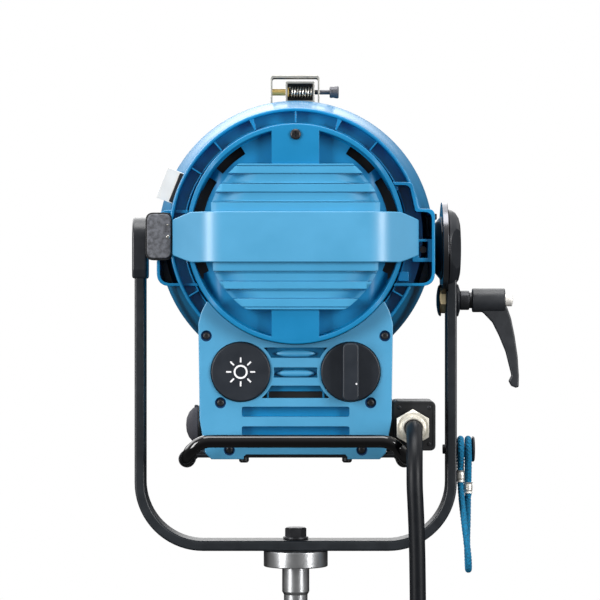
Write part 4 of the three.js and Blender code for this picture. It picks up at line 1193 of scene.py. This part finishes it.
def latch_spring():
    """A round-wire coil between the pin's collar and the guide."""
    low, high = corners("latch_spring")
    wire = 0.8
    coils = 8
    coil = high.y - LATCH.y - wire
    steps = coils * 24
    line = []
    for i in range(steps + 1):
        t = i / steps
        angle = TURN * coils * t
        x = low.x + wire + (high.x - low.x - 2 * wire) * t
        line.append((x, LATCH.y + coil * math.sin(angle), LATCH.z + coil * math.cos(angle)))
    return tube(line, wire, 10)


spring = finished(latch_spring(), "latch_coil", "latch_spring", finish="bright_steel")
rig.squash(spring, "latch_pull", (1, 0, 0), (0.018, LATCH.y * MM, LATCH.z * MM), 0.68)


# ---- barrel shape of the rear cover

BARREL_FLAT = 72
BARREL_RADIUS = 35
BARREL_TURN = math.radians(42)
COVER_RADIUS = 110
BLOCK_RADIUS = 90
BAND_Z = tuple(corner.z for corner in corners("rear_band"))


def barrel_y(x, inset):
    """The back of the cover: flat, then round, then sloping; inset is a depth below the band's face."""
    radius = BARREL_RADIUS - inset
    over = abs(x) - BARREL_FLAT
    middle = BACK_Y + BARREL_RADIUS
    if over <= 0:
        return BACK_Y + inset
    if over <= radius * math.sin(BARREL_TURN):
        return middle - math.sqrt(radius ** 2 - over ** 2)
    slope = (over - radius * math.sin(BARREL_TURN)) * math.tan(BARREL_TURN)
    return middle - radius * math.cos(BARREL_TURN) + slope


def eased(distance, radius):
    """How far a rounded edge falls away at a distance from it."""
    if distance >= radius:
        return 0
    return radius - math.sqrt(radius ** 2 - (radius - max(distance, 0)) ** 2)


def draped_ring(profile, sides=192):
    """A profile of (radius, inset) points turned about the optical axis, each inset below the barrel;
    "flat" points carry a plain y instead."""
    rows = []
    for radius, depth, *kind in profile:
        round_about = [(radius * math.cos(angle), OPTIC_Z + radius * math.sin(angle))
                       for angle in turns(sides)]
        rows.append([(x, depth if kind else barrel_y(x, depth), z) for x, z in round_about])
    return lofted(rows, "joined")


def moulding(half, section, place):
    """A bar across the cover: a closed section of (z, depth) points carried along x to the stations of half
    and their mirrored ones; place gives each its point."""
    stations = [-x for x in reversed(half) if x > 0] + list(half)
    return lofted([[place(x, z, depth) for z, depth in section] for x in stations], "capped")


# ---- rear cover

RIM_INSET = 8
FACE_INSET = 5
RECESS_INSET = 6.8
TROUGH_INSET = 22
TROUGH_RADIUS = 105
GROOVE = 0.9
SCOOP_RADIUS = 35
HOLLOW_RADIUS = 9
STATION_START = 40
VENT_RADII = (94.6, 103.5)
VENT_ANGLES = ((32, 50.4), (56.5, 76), (81, 113))


def cover_dish():
    """The rounded rim, the wall down to the trough, and the trough's floor."""
    front = DRUM_BACK_Y - GAP
    rim = [(COVER_RADIUS - 0.9 * (1 - math.cos(a)) * 1.6, RIM_INSET + 1.5 * (1 - math.sin(a)))
           for a in (math.pi * 0.5 * i / 5 for i in range(6))]
    inner = [(TROUGH_RADIUS + 0.9, RIM_INSET), (TROUGH_RADIUS + 0.2, RIM_INSET + 0.5),
             (TROUGH_RADIUS, RIM_INSET + 1.4), (TROUGH_RADIUS - 0.6, TROUGH_INSET - 1.6),
             (TROUGH_RADIUS - 1.8, TROUGH_INSET)]
    rows = [100 - 3.5 * i for i in range(9)] + [60, 30, 0.5]
    inner += [(r, TROUGH_INSET) for r in rows]
    below = [(r, TROUGH_INSET + 3) for r in reversed(rows)]
    below += [(COVER_RADIUS - 3, TROUGH_INSET + 3), (COVER_RADIUS - 3, front, "flat")]
    return draped_ring([(COVER_RADIUS, front, "flat"), *rim, *inner, *below])


def vent_slot(start, stop, side):
    """A cutter for one curved air slot, between two angles from the top."""
    inner, outer = VENT_RADII
    line = arc(outer, 90 - start, 90 - stop, 14) + arc(inner, 90 - stop, 90 - start, 14)
    rounded = [(*p, 0.9) if i in (0, 14, 15, 29) else (*p, 0) for i, p in enumerate(line)]
    return prism([(side * x, z + OPTIC_Z) for x, z in fillet(rounded, 0, 3)], "Y", (-112, -45), 0.1)


def strip_length(z):
    return math.sqrt(BLOCK_RADIUS ** 2 - (z - OPTIC_Z) ** 2)


def raised_strip(low, high, sunk=0.0):
    """A strip with a flat face whose ends follow the block's circle; sunk sets its face lower."""
    flat = FACE_INSET + sunk
    ease = min(0.7, (high - low) / 3)
    section = [(low, TROUGH_INSET + 1), (high, TROUGH_INSET + 1)]
    section += fillet([(low, 20), (high, 20), (high, flat, ease), (low, flat, ease)], 0, 3)[2:]
    longest = max(strip_length(low), strip_length(high))
    half = [0, 20, 40, 55, *[longest - 34 + 2 * i for i in range(17)]]
    half += [longest - 1 + 0.25 * i for i in range(5)]
    half = sorted({round(x, 3) for x in half if x >= 0})

    def place(x, z, depth):
        limit = strip_length(z) - (0.2 if depth > 20 else 0)
        kept = max(-limit, min(limit, x))
        drop = eased(limit - abs(kept), 0.8) if depth < 20 else 0
        return (kept, barrel_y(kept, depth) + drop, z)

    return moulding(half, section, place)


def scoop(over):
    """How far a scooped strip has fallen at a distance past its flat part: a round edge, then a hollow."""
    depth = TROUGH_INSET - RECESS_INSET
    turn = math.acos(1 - depth / (SCOOP_RADIUS + HOLLOW_RADIUS))
    switch = SCOOP_RADIUS * math.sin(turn)
    length = (SCOOP_RADIUS + HOLLOW_RADIUS) * math.sin(turn)
    if over <= 0:
        return 0
    if over <= switch:
        return SCOOP_RADIUS - math.sqrt(SCOOP_RADIUS ** 2 - over ** 2)
    left = max(length - over, 0)
    return depth - HOLLOW_RADIUS + math.sqrt(HOLLOW_RADIUS ** 2 - left ** 2)


def scooped_strip(low, high, draft):
    """A strip set in a little, whose ends fall to the trough; it carries the grooves on both sides of it.
    draft is +1 or -1 for the side with a sloping edge."""
    reach = 33.4
    floor = TROUGH_INSET + 1
    bottom = RECESS_INSET + 1.2
    edge, other = (low, high) if draft > 0 else (high, low)
    section = [(edge - GROOVE * draft, floor), (edge - GROOVE * draft, bottom), (edge, bottom),
               (edge, FACE_INSET + 0.3), (edge + 0.35 * draft, FACE_INSET + 0.3),
               (edge + 1.5 * draft, RECESS_INSET), (other, RECESS_INSET), (other, bottom),
               (other + GROOVE * draft, bottom), (other + GROOVE * draft, floor)]

    def place(x, z, depth):
        start = strip_length(min(max(z, low), high)) - reach
        shift = (abs(x) - STATION_START) if abs(x) > STATION_START else 0
        along = math.copysign(start + shift, x) if abs(x) > STATION_START else x * start / STATION_START
        y = barrel_y(along, depth) + (scoop(abs(along) - start) if depth < TROUGH_INSET else 0)
        return (along, min(y, barrel_y(along, floor)), z)

    half = [0, STATION_START / 2] + [STATION_START + reach * i / 26 for i in range(27)]
    return moulding(half, section, place)


def centre_strip(low, high):
    """The raised plate between the block and the rim, at the top or the bottom of the cover."""
    span = (BACK_Y + RIM_INSET - 0.1, BACK_Y + TROUGH_INSET + 1)
    return prism(rectangle(-24, 23.6, low, high, 0), "Y", span, 0.6)


UPPER_LINES = (407.5, 399.7, 389.9, 381.2, 371.6)
LOWER_LINES = (266.8, 275.6, 284.6, 292.8, 302.4)


def cover_strips():
    half = GROOVE / 2
    strips = []
    for lines, side in ((UPPER_LINES, 1), (LOWER_LINES, -1)):
        for kind, (outer, inner) in enumerate(zip(lines, lines[1:])):
            span = sorted((outer - side * half, inner + side * half))
            strips.append(scooped_strip(*span, side) if kind % 2 else raised_strip(*span))
    a_top, a_low = UPPER_LINES[0], LOWER_LINES[0]
    edges = [raised_strip(a_top + half, a_top + 2.2), raised_strip(a_low - 2.2, a_low - half)]
    gaps = [raised_strip(line - half, line + half, 1.6) for line in (a_top, a_low)]
    return [*strips, *edges, *gaps, raised_strip(LOWER_LINES[-1] + half, UPPER_LINES[-1] - half)]


# The dish, its rim and the centre plates take the darker blue of painted shade.
@piece("rear_cover", finish="housing_mid", smooth=30)
def vented_cover():
    vents = [vent_slot(start, stop, side) for start, stop in VENT_ANGLES for side in (1, -1)]
    upper = centre_strip(UPPER_LINES[0] + 1.6, OPTIC_Z + 106)
    return joined(cut(cover_dish(), *vents), upper, centre_strip(OPTIC_Z - 106, LOWER_LINES[0] - 1.6))


extra(joined(*cover_strips()), "cover_louvres", "rear_cover", finish="housing_satin", smooth=30)


@piece("cover_screw")
def cover_top_screw():
    """A domed screw head with a cross slot."""
    low, high = corners("cover_screw")
    radius = (high.x - low.x) / 2
    centre_z = (low.z + high.z) / 2
    head = lathe([(radius, high.y, 0.2), (radius, low.y + 1, 1), (radius - 1.6, low.y, 1)], "Y",
                 (0, centre_z), 48, 0.5)
    slots = [block((-3, 3), (low.y - 1, low.y + 1.1), (centre_z - 0.6, centre_z + 0.6), 0, 0.1),
             block((-0.6, 0.6), (low.y - 1, low.y + 1.1), (centre_z - 3, centre_z + 3), 0, 0.1)]
    return cut(head, *slots)


@detail("rear_cover", slot="dark_plastic")
def light_trap():
    """A black ring inside the cover: painted shade that shows through the air slots."""
    return ring([(84, -64), (106.6, -64), (106.6, -62.5), (84, -62.5)], "Y", OPTIC, 96)


@detail("front_housing", slot="dark_plastic")
def cover_gasket():
    """A black ring behind the gap between the cover and the drum: painted shade that shows through the gap."""
    return ring([(106, -31), (112.4, -31), (112.4, -29.6), (106, -29.6)], "Y", OPTIC, 96)


# ---- band across the cover

BAND_HALF_LENGTH = 123.9
BAND_TAPER_START = 104
BAND_TAPER = 7.5


@piece("rear_band")
def cover_band():
    low, high = BAND_Z
    middle = (low + high) / 2
    half_height = (high - low) / 2
    section = fillet([(low, 4, 0.5), (high, 4, 0.5), (high, 0, 1.2), (low, 0, 1.2)], 0, 4)
    half = [0, 30, 60] + [70 + 2.0 * i for i in range(17)]
    half += [BAND_TAPER_START + 1.0 * i for i in range(18)]
    half += [BAND_HALF_LENGTH - inward for inward in (0.8, 0.4, 0.15, 0)]
    half = sorted(set(half))

    def place(x, z, depth):
        along = max(abs(x) - BAND_TAPER_START, 0) / (BAND_HALF_LENGTH - BAND_TAPER_START)
        start = min(along * 6, 1) * 0.5
        narrowed = half_height - BAND_TAPER * (along ** 1.15) * (0.5 + start)
        end_round = eased(BAND_HALF_LENGTH - abs(x), 1.2)
        thick = depth + (2 - depth) * end_round / 2.4
        height = (z - middle) * (narrowed - end_round) / half_height
        return (x, barrel_y(x, thick), middle + height)

    return moulding(half, section, place)


# ---- lower housing

BASE_Y = tuple(corner.y for corner in corners("lower_housing"))
PANEL_Y = tuple(corner.y for corner in corners("rear_panel"))
BASE_BOTTOM_Z = 118.8
BASE_WALL = 3
BASE_OUTLINE = [(84.4, 114.3, 1.5), (90.4, 120.3, 2), (96.2, 154, 12), (97.6, 250, 8), (94.5, 262, 8),
                (89.2, 272.4, 1)]
KNOB_RADIUS = 29.7


def base_outline(inset):
    half = [(x - inset, z + (inset if z < 115 else 0), r) for x, z, r in BASE_OUTLINE]
    other = [(-x, z, r) for x, z, r in reversed(half)]
    return fillet(half + other, 0, 5)


def drum_grown(by):
    line = [(128 + by, -58.6), *[(r + by, y) for r, y in bell_line[1:]], (BELL_RADIUS + by, 150)]
    return lathe(line, "Y", OPTIC, DRUM_SIDES)


def cover_clearance(grown=0.0):
    return hole(COVER_RADIUS + 0.7 + grown, "Y", (-130, 160), (0, OPTIC_Z), DRUM_SIDES)


@piece("lower_housing")
def base_casting():
    above = block((-120, 120), (-120, 120), (BASE_BOTTOM_Z, 400))
    shell = within(prism(base_outline(0), "Y", BASE_Y, 1.6), above)
    inside = prism(base_outline(BASE_WALL), "Y", (BASE_Y[0] - 6, BASE_Y[1] - BASE_WALL), 0.5)
    inside = within(inside, block((-120, 120), (-120, 120), (BASE_BOTTOM_Z + BASE_WALL, 400)))
    inside = cut(inside, drum_grown(BASE_WALL), cover_clearance(BASE_WALL))
    cap = middle_of("side_cap")
    return cut(shell, drum_grown(GAP), cover_clearance(), inside, block(*THROAT),
               hole(12.5, "X", (-110, -80), (cap.y, cap.z)))


# ---- rear panel

SHORT_SLOTS_Z = ((216, 226.4), (196.2, 206.5), (175.7, 188.2))
LONG_SLOTS_Z = ((156.9, 167.1), (138, 147.4))
SLOT_ARC = 33.4
LONG_SLOT_HALF = 54
PANEL_SCREWS = ((89.5, 238), (75.3, 171), (66.4, 123.6))
SINK_RADIUS = 5.6
THROUGH_PANEL = (-80, -60)
SCREW_RADIUS = 3.7


def short_slot(low, high):
    """A slot between the two discs, whose ends follow arcs round them."""
    def end(side, z):
        return side * (KNOB.x - math.sqrt(SLOT_ARC ** 2 - (z - KNOB.z) ** 2))

    levels = [low + (high - low) * i / 12 for i in range(13)]
    right = [(end(1, z), z) for z in levels]
    left = [(end(-1, z), z) for z in reversed(levels)]
    corner = [(*p, 1.2) if p in (right[0], right[-1], left[0], left[-1]) else p for p in right + left]
    return prism(fillet(corner, 0, 3), "Y", THROUGH_PANEL, 0.1)


def long_slot(span, grown=0, radius=2.2):
    low, high = span
    return rectangle(-LONG_SLOT_HALF - grown, LONG_SLOT_HALF + grown, low - grown, high + grown, radius)


@piece("rear_panel", smooth=30)
def rear_plate():
    plate = prism(base_outline(0), "Y", PANEL_Y, 0.9, steps=3)
    discs = [hole(KNOB_RADIUS + 0.7, "Y", (-90, -60), (side * KNOB.x, KNOB.z), 96) for side in (1, -1)]
    shorts = [short_slot(*span) for span in SHORT_SLOTS_Z]
    longs = [prism(long_slot(span), "Y", THROUGH_PANEL, 0.1) for span in LONG_SLOTS_Z]
    sinks = [hole(SINK_RADIUS, "Y", THROUGH_PANEL, (side * x, z), 48) for x, z in PANEL_SCREWS
             for side in (1, -1)]
    notch = prism([(-52, 100), (52, 100), (52, 117), (49.5, 119.5), (-49.5, 119.5), (-52, 117)], "Y",
                  (-90, -60), 0.1)
    return bevelled(cut(plate, cover_clearance(), *discs, *shorts, *longs, notch, *sinks), 0.45, 50)


@detail("rear_panel", smooth=30)
def slot_liners():
    """Thin walls that line each long slot down to the baffle."""
    liners = []
    for span in LONG_SLOTS_Z:
        liners.append(prism(long_slot(span, 1, 2.6), "Y", (-72.4, -66), 0.1, [long_slot(span)]))
    return joined(*liners)


# The baffle takes the deeper blue of painted shade for the slots' floors.
@piece("vent_baffle", finish="housing_deep")
def vent_screen():
    low, high = corners("vent_baffle")
    outline = [(-60, low.z), (60, low.z), (60, 168), (29, 168), (29, high.z + 3), (-29, high.z + 3),
               (-29, 168), (-60, 168)]
    slots = [rectangle(-27, 27, 174, 182.2, 1)]
    return prism(outline, "Y", (low.y, high.y), 0.2, slots)


def panel_screw(x, z):
    """A sunk screw with a cross recess."""
    head = lathe([(SCREW_RADIUS, -72.6), (SCREW_RADIUS, -74, 0.6), (SCREW_RADIUS - 1.4, -74.9, 0.8)], "Y",
                 (x, z), 40, 0.2)
    slots = [block((x - a, x + a), (-76, -74.1), (z - b, z + b), 0, 0.05)
             for a, b in ((1.7, 0.35), (0.35, 1.7))]
    return cut(head, *slots)


def screw_sink(x, z):
    """The cone that a panel screw sits in, dark navy: painted shade of the countersink."""
    return ring([(SINK_RADIUS, -75.2), (SINK_RADIUS, -71.6), (0.5, -71.6), (0.5, -72.8),
                 (SCREW_RADIUS + 0.2, -73)], "Y", (x, z), 48)


@detail("vent_baffle")
def slot_glints():
    """Two rounded bars behind the upper slots."""
    profile = [(0, -20), (1.5, -18), (3.4, -12), (3.8, 0), (3.4, 12), (1.5, 18), (0, 20)]
    return joined(*[lathe(profile, "X", (-68.6, (low + high) / 2 - 1), 32)
                    for low, high in SHORT_SLOTS_Z[:2]])


@detail("vent_baffle", slot="dark_plastic")
def baffle_backing():
    """Black behind the opening of the baffle: painted shade seen through the lowest short slot."""
    return block((-30, 30), (-63.4, -62.4), (172, 185))


for side, side_name in ((1, "right"), (-1, "left")):
    for row, (x, z) in zip(("top", "middle", "bottom"), PANEL_SCREWS):
        extra(panel_screw(side * x, z), f"panel_screw_{side_name}_{row}", "rear_panel", slot="dark_steel")
        extra(screw_sink(side * x, z), f"panel_sink_{side_name}_{row}", "rear_panel", finish="sink_blue")


# ---- the two discs of the rear panel

def disc(x, back, front):
    return lathe([(KNOB_RADIUS, front, 0.3), (KNOB_RADIUS, back + 1, 1.2), (KNOB_RADIUS - 1, back, 1.2)],
                 "Y", (x, KNOB.z), 128, 0.6)


finished(disc(-KNOB.x, *[corner.y for corner in corners("badge_disc")]), "badge_plate", "badge_disc")


@detail("badge_disc", finish="white_print")
def badge_symbol():
    """A plain lamp sign: a ring with eight rays round it."""
    x = -KNOB.x
    back = corners("badge_disc")[0].y - 0.12
    pieces = [ring([(5.2, back), (7, back), (7, back + 0.6), (5.2, back + 0.6)], "Y", (x, KNOB.z), 64)]
    for angle in turns(8):
        ray = block((x - 0.8, x + 0.8), (back, back + 0.6), (KNOB.z + 9.4, KNOB.z + 14.6), 0.6, 0.05)
        pieces.append(spun(ray, "Y", (x, KNOB.z), angle))
    return joined(*pieces)


@piece("focus_knob")
def focus_grip():
    """A disc with a raised grip bar whose ends are round."""
    low, high = corners("focus_knob")
    base = disc(KNOB.x, -79, high.y)
    reach = KNOB_RADIUS - 0.8
    grip = prism([(x + KNOB.x, z + KNOB.z) for x, z in rectangle(-8, 8, -reach, reach, 6, 8)], "Y",
                 (low.y, -78), 1.6, steps=4)
    return cut(welded(base, grip), hole(3.4, "Y", (-76, -70), (KNOB.x, KNOB.z)))


@detail("focus_knob", finish="white_print")
def focus_mark():
    """The white dot at the grip's edge."""
    back = corners("focus_knob")[0].y
    return lathe([(0.9, back - 0.12), (0.9, back + 0.4)], "Y", (KNOB.x + 5.6, KNOB.z - 11.6), 24)


# ---- side cap

@piece("side_cap", finish="matt_grey")
def side_port_cap():
    centre = middle_of("side_cap")
    dome = lathe([(0, -113.8), (7, -113.1, 3), (13, -110.6, 4), (17.4, -106.6, 4), (19.6, -101.8, 2),
                  (19.6, -100.8, 0.3)], "X", (centre.y, centre.z), 96, 1)
    nub = block((-105, -101.2), (centre.y - 4, centre.y + 4), (centre.z + 16.6, centre.z + 20.6), 1.2, 0.8)
    return joined(dome, nub)


@piece("side_cap_socket")
def side_port_socket():
    centre = middle_of("side_cap_socket")
    return lathe([(20.9, -100.4, 0.6), (20.9, -98, 0.3), (12, -98, 0.2), (12, -88, 0.4)], "X",
                 (centre.y, centre.z), 72, 0.5)


# ---- tilt bearings

@piece("left_trunnion_block")
def left_bearing_block():
    low, high = corners("left_trunnion_block")
    body = prism(face(low, high, 0, 7, 8), "Y", (low.y, high.y), 1.2, steps=3)
    inside = block((-141.4, -100), (-50.4, 30), (300, 380))
    return cut(body, inside, hole(LEFT_PIN_HOLE, "X", (-160, -135), (0, TILT.z)), drum_grown(GAP))


@detail("left_trunnion_block", slot="dark_plastic")
def left_bearing_plate():
    """The black plate behind the block's grey face."""
    low, high = corners("left_trunnion_block")
    outer = rectangle(low.x - 1.6, high.x + 1.2, low.z - 2, high.z + 1.6, 8, 8)
    inner = face(low, high, 0.4, 7, 8)
    return prism(outer, "Y", (-58, -54), 0.5, [inner])


@detail("left_trunnion_block", slot="bright_steel")
def left_bearing_rivets():
    spots = ((-128.6, 337.5, 2.3), (-128.6, 349.5, 1.4))
    back = corners("left_trunnion_block")[0].y
    return joined(*[lathe([(0, back - 0.7), (r * 0.6, back - 0.6), (r, back + 0.4)], "Y", (x, z), 24, 0.2)
                    for x, z, r in spots])


@piece("right_hub_flange", finish="disc_steel")
def hub_cone():
    profile = [(10.2, 141.2, 0.4), (14, 141.2, 1), (23, 142.2, 1), (26, 143.6, 3), (31, 147.6, 2),
               (32.6, 149.4, 0.2), (10.2, 149.4, 0.2)]
    return ring(profile, "X", (0, TILT.z), 128, 0.5)


@piece("brake_disc", finish="disc_steel")
def brake_plate():
    low, high = DISC_X
    return ring([(10.2, low, 0.2), (DISC_RADIUS, low, 0.7), (DISC_RADIUS, high, 0.7), (10.2, high, 0.2)],
                "X", (0, TILT.z), 160, 0.5)


# ---- skid tube and cross plates

TUBE_RADIUS = 6.5
SKID_X, SKID_Z = 109.7, 113.5
CLIP_RADIUS = 8.6
HANDLE_Y, HANDLE_Z = -105, 134


def bezier(a, b, c, d, steps):
    weights = [(1 - i / steps, i / steps) for i in range(steps + 1)]
    return [tuple(a * s ** 3 + b * 3 * t * s ** 2 + c * 3 * t ** 2 * s + d * t ** 3) for s, t in weights]


def skid_line():
    """One rail, the bend up to the handle, the handle, and the same again."""
    bend = bezier(Vector((SKID_X, -72, SKID_Z)), Vector((SKID_X, -104, SKID_Z)),
                  Vector((103, HANDLE_Y, HANDLE_Z)), Vector((84, HANDLE_Y, HANDLE_Z)), 28)
    half = [(SKID_X, 118 - 10 * i, SKID_Z) for i in range(19)] + bend
    handle = [(x, HANDLE_Y, HANDLE_Z) for x in (60, 0, -60)]
    return half + handle + [(-x, y, z) for x, y, z in reversed(half)]


finished(tube(skid_line(), TUBE_RADIUS, 32), "skid_loop", "skid_tube")


@detail("skid_tube", slot="dark_plastic")
def skid_plugs():
    profile = [(TUBE_RADIUS - 0.6, 117), (TUBE_RADIUS, 118.2), (TUBE_RADIUS - 0.8, 120.2), (0, 120.6)]
    return joined(*[lathe(profile, "Y", (side * SKID_X, SKID_Z), 32, 0.3) for side in (1, -1)])


def cross_plate(node):
    """A plate under the housing whose ends are rolled round the rails."""
    low, high = corners(node)
    plate = block((low.x, high.x), (low.y, high.y), (low.z, high.z), 0.6, 0.5)
    span = (low.y + 1, high.y - 1)
    clips, webs = [], []
    for side in (1, -1):
        rail = (side * SKID_X, SKID_Z)
        outer, inner = [arc(radius, 0, 352.5, 47, rail) for radius in (CLIP_RADIUS, TUBE_RADIUS + 0.1)]
        web = [(side * x, z) for x, z in ((90, 115), (104, 115), (104, 121.5), (93, 121.5))]
        clips.append(prism(outer, "Y", span, 0.7, [inner]))
        webs.append(prism(web, "Y", span, 0.5))
    return joined(plate, *clips, *webs)


def button_foot(x):
    """A small round foot that shows beside the notch of the rear panel."""
    y = corners("skid_bracket_rear")[0].y + 5
    return lathe([(3.6, 109.8, 0.8), (5, 111.4, 1.2), (5, 115.2)], "Z", (x, y), 40, 0.5)


finished(cross_plate("skid_bracket_rear"), "cross_plate_rear", "skid_bracket_rear")
finished(cross_plate("skid_bracket_front"), "cross_plate_front", "skid_bracket_front")
extra(joined(button_foot(-52.2), button_foot(51.9)), "button_feet", "skid_bracket_rear", slot="dark_plastic")


# ---- cable box and gland

GLAND_X, GLAND_Z = CABLE_ROUTE[0][0] / MM, CABLE_ROUTE[0][2] / MM
GLAND_NUT_RADIUS = 18.6
GLAND_MOUTH_Y = corners("cable_gland")[0].y
BOX_LOW, BOX_HIGH = corners("cable_box")
BOX_HIGH.z -= 2


@piece("cable_box", finish="dark_plastic")
def junction_box():
    low, high = BOX_LOW, BOX_HIGH
    body = prism(face(low, high, 0, 6, 8), "Y", (low.y, high.y), 1.6, steps=3)
    inside = prism(face(low, high, 3, 4), "Y", (low.y - 3, high.y - 3), 0.2)
    return cut(body, inside)


@piece("cable_box_lid", finish="dark_plastic")
def junction_box_lid():
    low, high = corners("cable_box_lid")
    high.z = BOX_HIGH.z
    lid = prism(face(low, high, 0, 6, 8), "Y", (low.y, high.y), 0.9, steps=3)
    recess = prism(face(low, high, 2.6, 4), "Y", (low.y - 1, low.y + 0.7), 0.1)
    return cut(lid, recess)


@detail("cable_box_lid", slot="dark_steel")
def junction_box_screws():
    low, high = corners("cable_box_lid")
    high.z = BOX_HIGH.z
    screws = []
    for x, z in [(x, z) for x in (low.x + 6.5, high.x - 6.5) for z in (low.z + 6.5, high.z - 6.5)]:
        head = lathe([(1.9, low.y + 1), (1.9, low.y + 0.2), (1.3, low.y - 0.2)], "Y", (x, z), 28, 0.2)
        slot = block((x - 1.2, x + 1.2), (low.y - 1, low.y + 0.1), (z - 0.25, z + 0.25), 0, 0.05)
        screws.append(cut(head, slot))
    return joined(*screws)


@piece("cable_gland", finish="cream_steel")
def gland():
    """A hexagon, and a collar round the cable's seal."""
    mouth = GLAND_MOUTH_Y
    nut = hexagon_head(GLAND_NUT_RADIUS, "Y", -64, -74, (GLAND_X, GLAND_Z), 30)
    collar = ring([(8.8, mouth + 6), (8.8, mouth + 0.6, 0.4), (9.6, mouth, 0.3), (11, mouth, 0.8),
                   (11.8, -75, 0.4), (13.2, -74.6, 0.3), (13.2, -64), (8.8, -64)], "Y", (GLAND_X, GLAND_Z),
                  72, 0.4)
    return joined(cut(nut, hole(9, "Y", (-80, -60), (GLAND_X, GLAND_Z))), collar)


@detail("cable_box", finish="dark_plastic")
def box_spacer():
    """A wedge that fills the gap between the sloping housing and the cable box."""
    edge = [(97.6, 172), (99.2, 172), (99.2, 123), (91, 123), (96, 150)]
    return prism(edge, "Y", (-56, 10), 0.3)


@detail("cable_gland", slot="dark_plastic")
def gland_seal():
    mouth = GLAND_MOUTH_Y
    return ring([(CABLE_RADIUS + 0.15, mouth + 4), (CABLE_RADIUS + 0.15, mouth + 0.8, 0.4),
                 (8.7, mouth + 0.8, 0.3), (8.7, mouth + 4)], "Y", (GLAND_X, GLAND_Z), 56, 0.2)


# ---- lamp and its drive, seen through the lens

LAMP_Y = 2


@piece("lamp")
def lamp_envelope():
    return lathe([(9.2, 236.4, 1), (9.2, 258, 2), (8.6, 262, 2), (11, 276, 8), (13.6, 300, 12),
                  (13.6, 362, 12), (11, 376, 8), (5, 384, 3), (0, 386)], "Z", (0, LAMP_Y), 56, 1)


@detail("lamp", slot="bright_steel")
def lamp_stems():
    """Two electrode stems and the small arc bulb between them."""
    bulb = lathe([(0, 326), (3, 327, 2), (6.2, 334, 4), (6.2, 346, 4), (3, 353, 2), (0, 354)], "Z",
                 (0, LAMP_Y), 32, 1)
    stems = [lathe([(radius, low), (radius, high)], "Z", (x, LAMP_Y), 12)
             for radius, low, high, x in ((1.1, 242, 327, 0), (1.1, 353, 374, 0), (0.9, 242, 372, 9.6))]
    return joined(bulb, *stems, block((0, 10.4), (LAMP_Y - 0.8, LAMP_Y + 0.8), (371, 372.6)))


@piece("reflector")
def mirror_bowl():
    radius = 62
    angles = [math.radians(6 + 56 * i / 16) for i in range(17)]
    bowl = [(radius * math.sin(a), LAMP_Y - radius * math.cos(a)) for a in angles]
    inner = radius - 1.8
    back = [(inner * math.sin(a), LAMP_Y - inner * math.cos(a)) for a in reversed(angles)]
    stalk = block((-7, 7), (-33.4, -30.6), (182.4, 288), 0.8, 0.5)
    return joined(ring(bowl + back, "Y", OPTIC, 72), stalk)


# ---- finishes of the CAD pieces that stay

shown_for = {node for made in bpy.data.objects for node in made.get("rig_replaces", [])}
for node, carried in frame["nodes"].items():
    if node not in shown_for:
        carried.data.materials.clear()
        carried.data.materials.append(MATERIALS[NODE_SLOTS[node]])


# ---- studio

LIT_PLACE = Vector((0, 0, 0.3))
SHEET_BRIGHTNESS = 3.4
ROOM_BRIGHTNESS = (0.1, 0.45)


def softbox(name, place, size, power):
    light = bpy.data.lights.new(name, "AREA")
    light.shape = "RECTANGLE"
    light.size, light.size_y = size
    light.energy = power
    lamp = bpy.data.objects.new(name, light)
    scene.collection.objects.link(lamp)
    lamp.location = place
    lamp.rotation_euler = (LIT_PLACE - Vector(place)).to_track_quat("-Z", "Y").to_euler()


softbox("overhead", (0, -0.35, 2.1), (1.5, 1.1), 33)
softbox("left_front", (-1.85, -1.6, 0.72), (0.8, 1.6), 54)
softbox("right_front", (1.85, -1.6, 0.72), (0.8, 1.6), 49)


def studio_world():
    """White behind the object; the object itself sees a dim room with a bright sheet high in front."""
    world = bpy.data.worlds.new("studio")
    scene.world = world
    world.use_nodes = True
    graph = world.node_tree
    axes = add(graph, "SeparateXYZ", Vector=add(graph, "TexCoord").outputs["Generated"]).outputs

    def along(axis, start, stop, low, high):
        mapped = add(graph, "MapRange", Value=axes[axis], From_Min=start, From_Max=stop, To_Min=low,
                     To_Max=high)
        mapped.interpolation_type = "SMOOTHSTEP"
        return mapped.outputs["Result"]

    def reckoned(operation, a, b):
        made = graph.nodes.new("ShaderNodeMath")
        made.operation = operation
        graph.links.new(a, made.inputs[0])
        graph.links.new(b, made.inputs[1])
        return made.outputs["Value"]

    aside = reckoned("MULTIPLY", along("Y", 0, 0.3, 0, 1), along("X", 0.02, 0.3, 1, 0.2))
    sheet = reckoned("MULTIPLY", along("Z", 0.13, 0.3, 0, SHEET_BRIGHTNESS), aside)
    dim = reckoned("MULTIPLY", along("Z", -0.5, 0.9, *ROOM_BRIGHTNESS), along("Y", 0.1, 0.7, 1, 0.12))
    room = reckoned("ADD", sheet, dim)
    choice = graph.nodes.new("ShaderNodeMix")
    graph.links.new(graph.nodes.new("ShaderNodeLightPath").outputs["Is Camera Ray"], choice.inputs[0])
    graph.links.new(room, choice.inputs[2])
    choice.inputs[3].default_value = 1
    graph.links.new(choice.outputs[0], graph.nodes["Background"].inputs["Strength"])
    graph.nodes["Background"].inputs["Color"].default_value = (1, 1, 1, 1)


studio_world()
scene.view_settings.view_transform = "Standard"
scene.view_settings.look = "None"


# ---- sizes and the end

visual_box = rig.bounds()
with open("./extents.json", "w") as sizes:
    json.dump({"cad": [list(corner) for corner in cad_box],
               "visual": [list(corner) for corner in visual_box]}, sizes)
